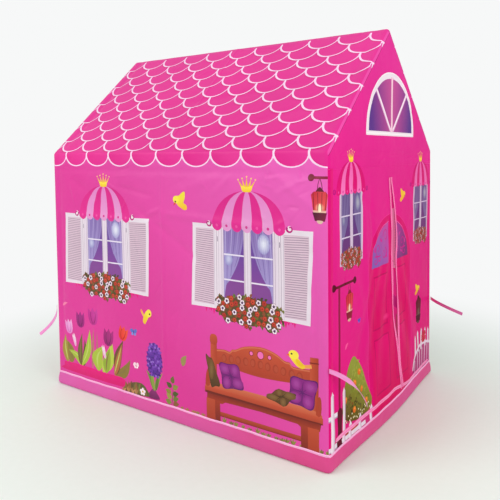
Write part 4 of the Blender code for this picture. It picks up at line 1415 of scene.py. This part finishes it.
def scatterWrinkles(seed, count, box, long, deep):
    # Short random wrinkles, the way a folded cloth keeps them.
    rng = random.Random(seed)
    wrinkles = []
    for _ in range(count):
        u, v = rng.uniform(box[0], box[2]), rng.uniform(box[1], box[3])
        a, length = rng.uniform(0, math.pi), rng.uniform(0.35, 1) * long
        width, sign = rng.uniform(2.6, 5.5), rng.choice((-1, 1))
        wrinkles.append((u, v, u + length * math.cos(a), v + length * math.sin(a), width,
                         sign * rng.uniform(0.4, 1) * deep))
    return wrinkles


panelSettings = {
    "hollow": 3.0,       # how far a stretched wall or roof curves inwards between the rods
    "rearHollow": 2.5,
    "calm": 28,          # the folds die out over this much cloth at its edges
    # Folds: u0, v0, u1, v1, width, depth, all in millimetres
    "sideFolds": [
        (-455, 655, 455, 655, 9, -1.2), (-438, 120, -438, 640, 9, -1.6), (436, 120, 436, 640, 8, -2.0),
        (-20, 80, -20, 660, 6, 1.2), (-440, 527, -20, 520, 8, 1.1), (-20, 545, 300, 528, 10, 2.0),
        (-120, 560, 120, 420, 10, -1.6), (20, 600, 160, 640, 12, 1.4), (280, 640, 420, 470, 14, -2.0),
        (320, 660, 450, 560, 9, 1.6), (-430, 90, -250, 300, 16, -0.9), (100, 100, 380, 300, 18, -1.0),
        (-400, 640, -250, 560, 12, -1.2), (60, 480, 20, 200, 12, -1.0), (-128, 490, -98, 408, 6, 1.7),
        (-100, 408, -92, 318, 6, 1.5), (-76, 536, -28, 556, 6, 1.6), (330, 604, 396, 636, 7, 1.6),
        (396, 480, 430, 380, 7, 1.5), (150, 600, 200, 640, 7, 1.4), (-180, 610, -60, 590, 7, -1.3)]
    + scatterWrinkles(4, 26, (-420, 260, 430, 660), 60, 0.9)
    + scatterWrinkles(17, 16, (300, 480, 430, 650), 50, 1.2),
    "endFolds": [
        (-322, 120, -322, 640, 9, -1.6), (322, 120, 322, 640, 9, -1.6), (-300, 690, 300, 690, 5, -1.0),
        (-112, 378, -8, 386, 6, 1.6), (-118, 350, -10, 344, 7, -1.6), (-110, 318, -20, 326, 8, 1.2),
        (-250, 640, -60, 520, 12, -1.2), (-200, 400, -120, 200, 12, 1.2), (150, 620, 270, 420, 14, -1.2),
        (-120, 850, 60, 720, 14, -1.0), (-160, 560, -110, 90, 14, 1.8), (-120, 600, -60, 120, 10, -1.6)]
    + scatterWrinkles(9, 14, (-300, 120, 300, 860), 60, 0.7),
    "roofFolds": [
        (-430, -440, -430, 440, 9, -1.3), (430, -440, 430, 440, 9, -1.3),
        (-450, -452, 450, -452, 6, -0.9), (-450, 452, 450, 452, 6, -0.9), (-20, -460, -20, 460, 3.4, 0.8),
        (-380, -300, 300, -220, 16, -1.2), (-300, -60, 200, -160, 14, 0.9),
        (100, -400, 400, -300, 16, -1.0), (-300, 300, 300, 200, 16, -1.2)]
    + scatterWrinkles(12, 16, (-420, -430, 420, 430), 60, 0.6),
}


def hangPanel(piece, outward, material, replaced, area=None, rides=True):
    # What every panel of the cover has in common once it is cut.
    faceOutward(piece, outward)
    piece.data.materials.append(material)
    piece.data.materials.append(glowingClothBack)
    thicken(piece, tent["clothThickness"])
    if rides:
        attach(piece, "frame_and_cover")
    if replaced:
        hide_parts(*replaced)
    return piece


def sidePanel(side, sideSign):
    folds = panelSettings["sideFolds"]

    def place(u, v):
        along, rise = (u + endLine) / (2 * endLine), (v - bandLine) / (eaveLine - bandLine)
        bays = 0.5 - 0.5 * math.cos(2 * math.pi * (2 * along + 0.5 * rise))
        lift = -panelSettings["hollow"] * hump(along) * hump(rise) * bays
        edge = ease(min(endLine - abs(u), v - bandLine, eaveLine - v) / panelSettings["calm"])
        lift += relief(u, v, folds, (150, 1.8, 3 + sideSign), (60, 0.6, 8)) * edge
        return settle(Vector((-sideSign * u / 1000, sideSign * halfWidth, v / 1000)), lift / 1000)
    # The wall's own pink, painted paler and more lilac towards its upper front corner: a painted reflection
    # of the room's light on the glossy cloth.
    ground = groundInk("DC3496", "E85CB8", (-80, 280), (400, 660))
    outline = block(-endLine, footLine, endLine, eaveLine)
    piece = cutPanel(f"side_wall_{side}_cloth", outline, ground, sideArt(), place, folds)
    hangPanel(piece, (0, sideSign, 0), wallPrint, [f"side_wall_{side}"])


def roofPanel():
    top = slope * 1000
    folds = panelSettings["roofFolds"]

    def place(u, t):
        s = top - abs(t)
        side = -1 if t < 0 else 1
        lift = -panelSettings["hollow"] * hump((u + endLine) / (2 * endLine)) * hump(s / top)
        edge = ease(min(endLine - abs(u), s, top - s + 8) / panelSettings["calm"])
        lift += relief(u, t, folds, (120, 1.8, 21), (50, 0.5, 5)) * edge
        y = side * (halfWidth - s / 1000 * math.cos(roofAngle))
        return settle(Vector((u / 1000, y, tent["eave"] + s / 1000 * math.sin(roofAngle))), lift / 1000)
    outline = block(-endLine, -top, endLine, top)
    piece = cutPanel("roof_cloth", outline, groundInk(wallInk["roof"]), roofArt(), place, folds)
    hangPanel(piece, (0, 0, 1), roofPrint, ["roof_left", "roof_right"])


def endLift(u, v, seed):
    edge = ease(min(sideLine - abs(u), (ridgeLine - v) / 1.4 - abs(u) * 0.67, v - bandLine) / 26)
    return relief(u, v, panelSettings["endFolds"], (130, 1.8, seed), (55, 0.5, seed + 2)) * edge


def rearPanel():
    def place(u, v):
        roofLine = eaveLine + (sideLine - abs(u)) * math.tan(roofAngle)
        rise = (v - bandLine) / max(60, roofLine - bandLine)
        bays = hump((2 * (u + sideLine) / (2 * sideLine)) % 1) * hump(rise)
        lift = endLift(u, v, 41) - panelSettings["rearHollow"] * bays
        return settle(Vector((-halfLength, -u / 1000, v / 1000)), lift / 1000)
    outline = [(-sideLine, footLine), (sideLine, footLine), (sideLine, eaveLine), (0, ridgeLine),
               (-sideLine, eaveLine)]
    piece = cutPanel("rear_wall_cloth", outline, groundInk(wallInk["end"]), rearArt(), place,
                     panelSettings["endFolds"])
    hangPanel(piece, (-1, 0, 0), endPrint, ["rear_wall"],
              area=0.575)


# Front wall and door. The slit's edges and the fold lines are measured down from the slit's top.

slitTop, hem, seamHeight = (tent[name] * 1000 for name in ("slitTop", "hem", "gableSeam"))
front = {
    # The flaps' fold lines, from the slit's top to the wall's foot
    "foldTop": (-6.0, 16.0), "foldFoot": 323.9,
    "blendStart": 0.010, "blendEnd": 0.036,       # a strip beside the fold line
    "bow": 11.0,
    "sag": 16.5, "sagStart": 5, "sagOver": 120,   # how far the right flap's hem sags, and over what stretch
}


def slitEdge(sideSign, v):
    down = min(1.0, max(0.0, (slitTop - v) / (slitTop - hem)))
    points = tent["leftEdge"] if sideSign < 0 else tent["rightEdge"]
    top = tent["slitShift"] * 1000 + sideSign * 1.5
    # The measured points, joined by a smooth line
    for k in range(len(points) - 1):
        if down <= points[k + 1][0]:
            a, b, c, d = (points[min(len(points) - 1, max(0, k + j))][1] for j in (-1, 0, 1, 2))
            t = (down - points[k][0]) / (points[k + 1][0] - points[k][0])
            return top + 1000 * curveSpot(a, b, c, d, t)
    return top + 1000 * points[-1][1]


def hemAt(u):
    # The left flap's hem hangs nearly level, and the right one's sags to the top of the sleeve.
    return hem - front["sag"] * ease((u - front["sagStart"]) / front["sagOver"])


def foldLine(sideSign, v):
    top = front["foldTop"][0 if sideSign < 0 else 1]
    return mix(top, sideSign * front["foldFoot"], (slitTop - v) / (slitTop - hem))


def flapDepth(sideSign, u, v):
    # How far the door's cloth lies behind the wall's face: soft hanging folds, deeper towards the hem.
    down = (slitTop - v) / (slitTop - hem)
    span = sideSign * (foldLine(sideSign, v) - u)
    if down <= 0 or span <= 0:
        return 0.0
    down = min(down, 1.0)
    wave = 0.5 - 0.5 * math.cos(2 * math.pi * span / (32 * (1 + 2 * down)))
    return 6.0 * wave * down * min(1, span / 48) * (1 - 0.8 * ease((down - 0.62) / 0.36))


def footBow(u, v):
    # The long rod at the foot gives a little, so the front stands out most at its middle.
    if abs(u) >= sideLine:
        return 0.0
    return front["bow"] * hump((u + sideLine) / (2 * sideLine)) * ease((330 - v) / 292)


def frontPlace(sideSign):
    def place(u, v):
        span = sideSign * (foldLine(sideSign, v) - u)
        hanging = ease(span / 40) if v < slitTop else 0.0
        lift = endLift(u, v, 57) * (1 - 0.6 * hanging) - flapDepth(sideSign, u, v)
        lift += hanging * ripple(u, v * 0.3, 30, 0.8, 12) + footBow(u, v)
        return settle(Vector((halfLength, u / 1000, v / 1000)), lift / 1000)
    return place


def blendFront(piece, sideSign):
    # Bakes the piece's placing into its mesh.
    foot = Vector((0.4646, sideSign * front["foldFoot"] / 1000, tent["hem"]))
    top = Vector((0.4646, front["foldTop"][0 if sideSign < 0 else 1] / 1000, tent["slitTop"]))
    along = (top - foot).normalized()
    inward = Vector((0, -sideSign, 0))
    inward = (inward - along * inward.dot(along)).normalized()
    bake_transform(piece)


def frontPanel(sideSign, art):
    side = "left" if sideSign < 0 else "right"
    middle = tent["slitShift"] * 1000 + sideSign * 0.15
    slit = [(slitEdge(sideSign, v), v) for v in [slitTop - (slitTop - hem) * k / 30 for k in range(31)]]
    last = slit.pop()[0]
    foot = [(u, hemAt(u) - 0.6) for u in [mix(sideSign * sideLine, last, k / 20) for k in range(21)]]
    outline = [*foot, *reversed(slit), (middle, slitTop + 1), (middle, seamHeight),
               (sideSign * sideLine, seamHeight)]
    ground = groundInk("E2208A", "DA0E74", (-100, 640), (60, 60))
    piece = cutPanel(f"front_cloth_{side}", outline, ground, art, frontPlace(sideSign),
                     panelSettings["endFolds"])
    hangPanel(piece, (1, 0, 0), endPrint, [f"front_wall_{side}", f"door_flap_{side}"],
              area=round(abs(signedArea(outline)) / 1e6, 4), rides=False)
    blendFront(piece, sideSign)


def frontSill(art):
    # The strip of wall that stays behind the flaps' foot, down to the sleeve.
    def place(u, v):
        lift = -1.6 * ease((330 - abs(u)) / 20) * ease((v - bandLine) / 12) + footBow(u, v)
        return settle(Vector((halfLength, u / 1000, v / 1000)), lift / 1000)
    under = 0.9
    outline = [(-sideLine, footLine), (sideLine, footLine)]
    outline += [(u, hemAt(u) - under) for u in range(sideLine, -sideLine - 1, -15)]
    ground = groundInk("C80A5E", "CC3A84", (-100, 45), (-200, 45))
    piece = cutPanel("front_sill", outline, ground, art, place, spacing=9.0)
    hangPanel(piece, (1, 0, 0), endPrint, None,
              area=round(abs(signedArea(outline)) / 1e6, 5))


def frontGable(art):
    def place(u, v):
        return settle(Vector((halfLength, u / 1000, v / 1000)), endLift(u, v, 57) / 1000)
    low = seamHeight + 0.3
    ground = groundInk("E2208A", "E22E96", (0, 662), (0, 980))
    outline = [(-sideLine, low), (sideLine, low), (sideLine, eaveLine), (0, ridgeLine),
               (-sideLine, eaveLine)]
    piece = cutPanel("front_gable_cloth", outline, ground, art, place, panelSettings["endFolds"])
    hangPanel(piece, (1, 0, 0), endPrint, ["front_gable"],
              area=0.1377)


sidePanel("left", -1)
sidePanel("right", 1)
print("side walls cut")
roofPanel()
print("roof cut")
rearPanel()
frontDrawing = frontArt()
frontGable(frontDrawing)
for sideSign in (-1, 1):
    frontPanel(sideSign, frontDrawing)
frontSill(frontDrawing)
print("end walls and door cut")


def ribbonStrip(name, centres, acrosses, normals, width, thickness, material, columns=3, crown=0.0):
    # A strip whose middle follows the centres. crown lifts its middle off the cloth.
    bm = bmesh.new()
    layer = bm.loops.layers.uv.new("cloth")
    rows, lengths, run = [], [], 0.0
    widths = width if isinstance(width, list) else [width] * len(centres)
    for k, (centre, across, normal) in enumerate(zip(centres, acrosses, normals)):
        run += (centre - centres[k - 1]).length if k else 0.0
        lengths.append(run)
        rows.append([bm.verts.new(centre + across * widths[k] * (j / columns - 0.5)
                                  + normal * crown * hump(j / columns)) for j in range(columns + 1)])
    for k in range(len(rows) - 1):
        for j in range(columns):
            face = bm.faces.new((rows[k][j], rows[k][j + 1], rows[k + 1][j + 1], rows[k + 1][j]))
            for loop, (a, b) in zip(face.loops, ((k, j), (k, j + 1), (k + 1, j + 1), (k + 1, j))):
                loop[layer].uv = (lengths[a], widths[a] * b / columns)
    piece = addMesh(name, bm)
    piece.data.materials.append(material)
    faceOutward(piece, sum(normals, Vector()))
    thicken(piece, thickness, backSlot=0)
    return piece


def slitBinding(sideSign):
    # Tape folded over the flap's free edge, from the slit's top to the hem.
    side = "left" if sideSign < 0 else "right"
    place = frontPlace(sideSign)
    foot = hemAt(slitEdge(sideSign, hem)) - 1
    heights = [mix(slitTop + 2, foot, k / 70) for k in range(71)]
    centres, acrosses, normals = [], [], []
    for v in heights:
        edge = slitEdge(sideSign, v)
        inner, outer = place(edge + sideSign * 0.2, v), place(edge + sideSign * 9.4, v)
        centres.append((inner + outer) / 2 + Vector((0.0011, 0, 0)))
        acrosses.append((outer - inner).normalized())
        normals.append(Vector((1, 0, 0)))
    piece = ribbonStrip(f"door_binding_{side}_tape", centres, acrosses, normals, 0.0094, 0.0005,
                        bindingTape, columns=4, crown=0.0013)
    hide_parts(f"door_binding_{side}")
    blendFront(piece, sideSign)
    return piece


def hemTape(sideSign):
    # Tape along the foot of the flap.
    side = "left" if sideSign < 0 else "right"
    place = frontPlace(sideSign)
    last = slitEdge(sideSign, hem)
    centres, acrosses, normals, widths = [], [], [], []
    for k in range(61):
        u = mix(sideSign * 318, last + sideSign * 0.5, k / 60)
        widths.append(mix(0.011, 0.0072, (u + 318) / 636) * min(1, math.sqrt((k + 0.3) / 1.6)))
        rise = 5.4 + 0.4 * math.sin(u / 41.0)
        low, high = place(u, hemAt(u) + rise - 4), place(u, hemAt(u) + rise + 4)
        centres.append((low + high) / 2 + Vector((0.0010, 0, 0)))
        acrosses.append((high - low).normalized())
        normals.append(Vector((1, 0, 0)))
    piece = ribbonStrip(f"door_hem_{side}_tape", centres, acrosses, normals, widths, 0.0005, hemTapeLook,
                        crown=0.0006)
    blendFront(piece, sideSign)
    return piece


for sideSign in (-1, 1):
    slitBinding(sideSign)
    hemTape(sideSign)
print("door tapes sewn on")


band = {"height": tent["bandTop"], "bulge": 0.0055, "flat": 0.0005, "columns": 150, "pucker": 0.0011,
        "core": 0.012, "tape": (-0.0028, 0.0032)}


def sleeveProfile():
    outerMost = reach + band["bulge"]
    points = [(reach, band["height"])]
    for step in range(1, 7):
        points.append((mix(reach, outerMost, math.sin(math.pi / 2 * step / 7)),
                       mix(band["height"], reach, step / 7)))
    for step in range(9):
        a = math.pi / 2 * step / 8
        points.append((outerMost - reach + reach * math.cos(a),
                       max(reach - reach * math.sin(a) - band["flat"], 0)))
    for step in range(1, 9):
        a = math.pi / 2 * step / 8
        points.append((-reach * math.sin(a), max(reach - reach * math.cos(a) - band["flat"], 0)))
    points.append((-reach, 2 * reach))
    points += [(mix(-reach, reach - 0.0012, step / 5), mix(2 * reach, band["height"] - 0.0004, step / 5))
               for step in range(1, 6)]
    return points


def bandSpot(outward, along, centre, halfSpan, out, rise, share):
    # The sleeve turns round each corner on an arc where it lies outside the rods, and is mitred inside.
    if out > 0 and outward.x > 0:
        out += front["bow"] / 1000 * hump((share + 1) / 2) * min(1, out / reach)
    length = halfSpan + max(out, 0) * math.pi / 4 + min(out, 0)
    s = length * share
    if out > 0 and abs(s) > halfSpan:
        a = (abs(s) - halfSpan) / out
        return (centre + along * math.copysign(halfSpan + out * math.sin(a), s)
                + outward * out * math.cos(a) + Vector((0, 0, rise)))
    return centre + along * s + outward * out + Vector((0, 0, rise))


def baseBand(side, outward, along, centre, halfSpan, seed):
    profile = sleeveProfile()
    bm = bmesh.new()
    bmesh.ops.create_grid(bm, x_segments=band["columns"], y_segments=len(profile), size=0.5)
    layer = bm.loops.layers.uv.verify()
    girth = [0.0]
    for a, b in zip(profile, profile[1:] + profile[:1]):
        girth.append(girth[-1] + math.dist(a, b))
    ring = {}
    for vert in bm.verts:
        share, step = vert.co.x * 2, round((vert.co.y + 0.5) * len(profile))
        ring[vert] = (share, step)
        out, rise = profile[step % len(profile)]
        s = share * halfSpan * 1000
        if 0 < step < 7:
            swell = hump(step / 8) * ease((halfSpan * 1000 - abs(s)) / 20)
            out += band["pucker"] * swell * (noise.noise(Vector((s / 26, step * 0.35, seed))) * 1.4
                                             + 0.5 * math.sin(s / 15 + seed))
        out -= 0.0002
        vert.co = bandSpot(outward, along, centre, halfSpan, out, rise, share)
    for face in bm.faces:
        for loop in face.loops:
            share, step = ring[loop.vert]
            loop[layer].uv = (share * halfSpan, girth[step])
    bmesh.ops.remove_doubles(bm, verts=bm.verts, dist=0.00001)
    bmesh.ops.recalc_face_normals(bm, faces=bm.faces)
    piece = addMesh(f"base_sleeve_{side}", bm)
    mesh = piece.data
    mesh.uv_layers[0].name = "cloth"
    mesh.materials.append(bandFront)
    mesh.materials.append(bandBack)
    core = centre + Vector((0, 0, band["core"]))
    if sum((polygon.normal.dot((polygon.center - core).normalized()) for polygon in mesh.polygons),
           0.0) < 0:
        mesh.flip_normals()
    thicken(piece, tent["clothThickness"])
    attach(piece, "frame_and_cover")
    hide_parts(f"base_band_{side}")


def sleeveSeam(side, outward, along, centre, halfSpan, seed):
    # The seam's tape, a soft raised cord of cloth along the sleeve's top.
    centres, acrosses, normals = [], [], []
    for k in range(161):
        share = -1 + 2 * k / 160
        s = share * halfSpan * 1000
        wobble = 0.0006 * math.sin(s / 33 + seed) + 0.0004 * math.sin(s / 12)
        low, high = (bandSpot(outward, along, centre, halfSpan, reach + 0.0006,
                              band["height"] + edge + wobble, share) for edge in band["tape"])
        centres.append((low + high) / 2)
        acrosses.append((high - low).normalized())
        normals.append((centres[-1] - centre - along * along.dot(centres[-1] - centre) * 0.98).normalized())
    tape = ribbonStrip(f"sleeve_seam_{side}", centres, acrosses,
                       [Vector((n.x, n.y, 0)).normalized() for n in normals], 0.006, 0.0006, pipingTape,
                       columns=4, crown=0.0016)
    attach(tape, "frame_and_cover")


for seed, (side, outward) in enumerate((("left", (0, -1, 0)), ("right", (0, 1, 0)),
                                        ("front", (1, 0, 0)), ("rear", (-1, 0, 0))), 1):
    along = Vector((abs(outward[1]), abs(outward[0]), 0))
    centre = Vector((outward[0] * postX, outward[1] * postY, 0))
    halfSpan = postX if outward[1] else postY
    baseBand(side, Vector(outward), along, centre, halfSpan, float(seed))
    sleeveSeam(side, Vector(outward), along, centre, halfSpan, float(seed))
print("base sleeves sewn")


ties = {
    "length": 0.140, "width": 0.010, "thickness": 0.0007, "height": {"front_left": 0.229},
    "usual": 0.237, "steps": 14, "finer": 4, "leanSteps": 4, "offset": (0.0003 + 0.0005) / math.sqrt(2),
    # A twist is its degrees, where it begins, over what share it grows, and how much the end loses again.
    "twist": {"front_left": (-72, 0.2, 0.5, 0.4), "front_right": (8, 0.3, 0.6, 0),
              "rear_left": (20, 0.3, 0.6, 0), "rear_right": (-50, 0.3, 0.6, 0)},
    "corners": {"front_left": (1, -1, (48.9, -22.1), (70.3, -66.1)),
                "front_right": (1, 1, (-56, 0), (-3, -15)),
                "rear_left": (-1, -1, (140, -54), (216, -39)), "rear_right": (-1, 1, (236, 0), (183, -15))},
}


def tieRibbon(corner):
    endSign, sideSign, sewn, free = ties["corners"][corner]
    turned, begins, over, loses = ties["twist"][corner]
    steps = ties["steps"] * ties["finer"]
    points = [Vector((endSign * (halfLength + ties["offset"]), sideSign * (halfWidth + ties["offset"]),
                      ties["height"].get(corner, ties["usual"])))]
    for step in range(steps):
        share = (step + 0.5) / steps
        heading, pitch = (math.radians(mix(sewn[k], free[k], share)) for k in (0, 1))
        run = Vector((math.cos(heading) * math.cos(pitch), math.sin(heading) * math.cos(pitch),
                      math.sin(pitch)))
        points.append(points[-1] + run * ties["length"] / steps)
    acrosses, normals = [], []
    for step in range(steps + 1):
        run = (points[min(step + 1, steps)] - points[max(step - 1, 0)]).normalized()
        level = Vector((run.y, -run.x, 0)).normalized()
        lean = min(1.0, step / (ties["leanSteps"] * ties["finer"]))
        across = Vector((0, 0, 1)).lerp(level.cross(run), lean).normalized()
        twist = turned * (ease((step / steps - begins) / over) - loses * ease((step / steps - 0.88) / 0.12))
        across = Matrix.Rotation(math.radians(twist), 3, run) @ across
        acrosses.append(across)
        normals.append(across.cross(run).normalized())
    piece = ribbonStrip(f"tie_ribbon_{corner}_satin", points, acrosses, normals, ties["width"],
                        ties["thickness"], ribbonSatin, columns=4, crown=0.0003)
    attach(piece, f"tie_{corner}")
    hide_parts(f"tie_ribbon_{corner}")


for corner in ties["corners"]:
    tieRibbon(corner)
print("tie ribbons made")
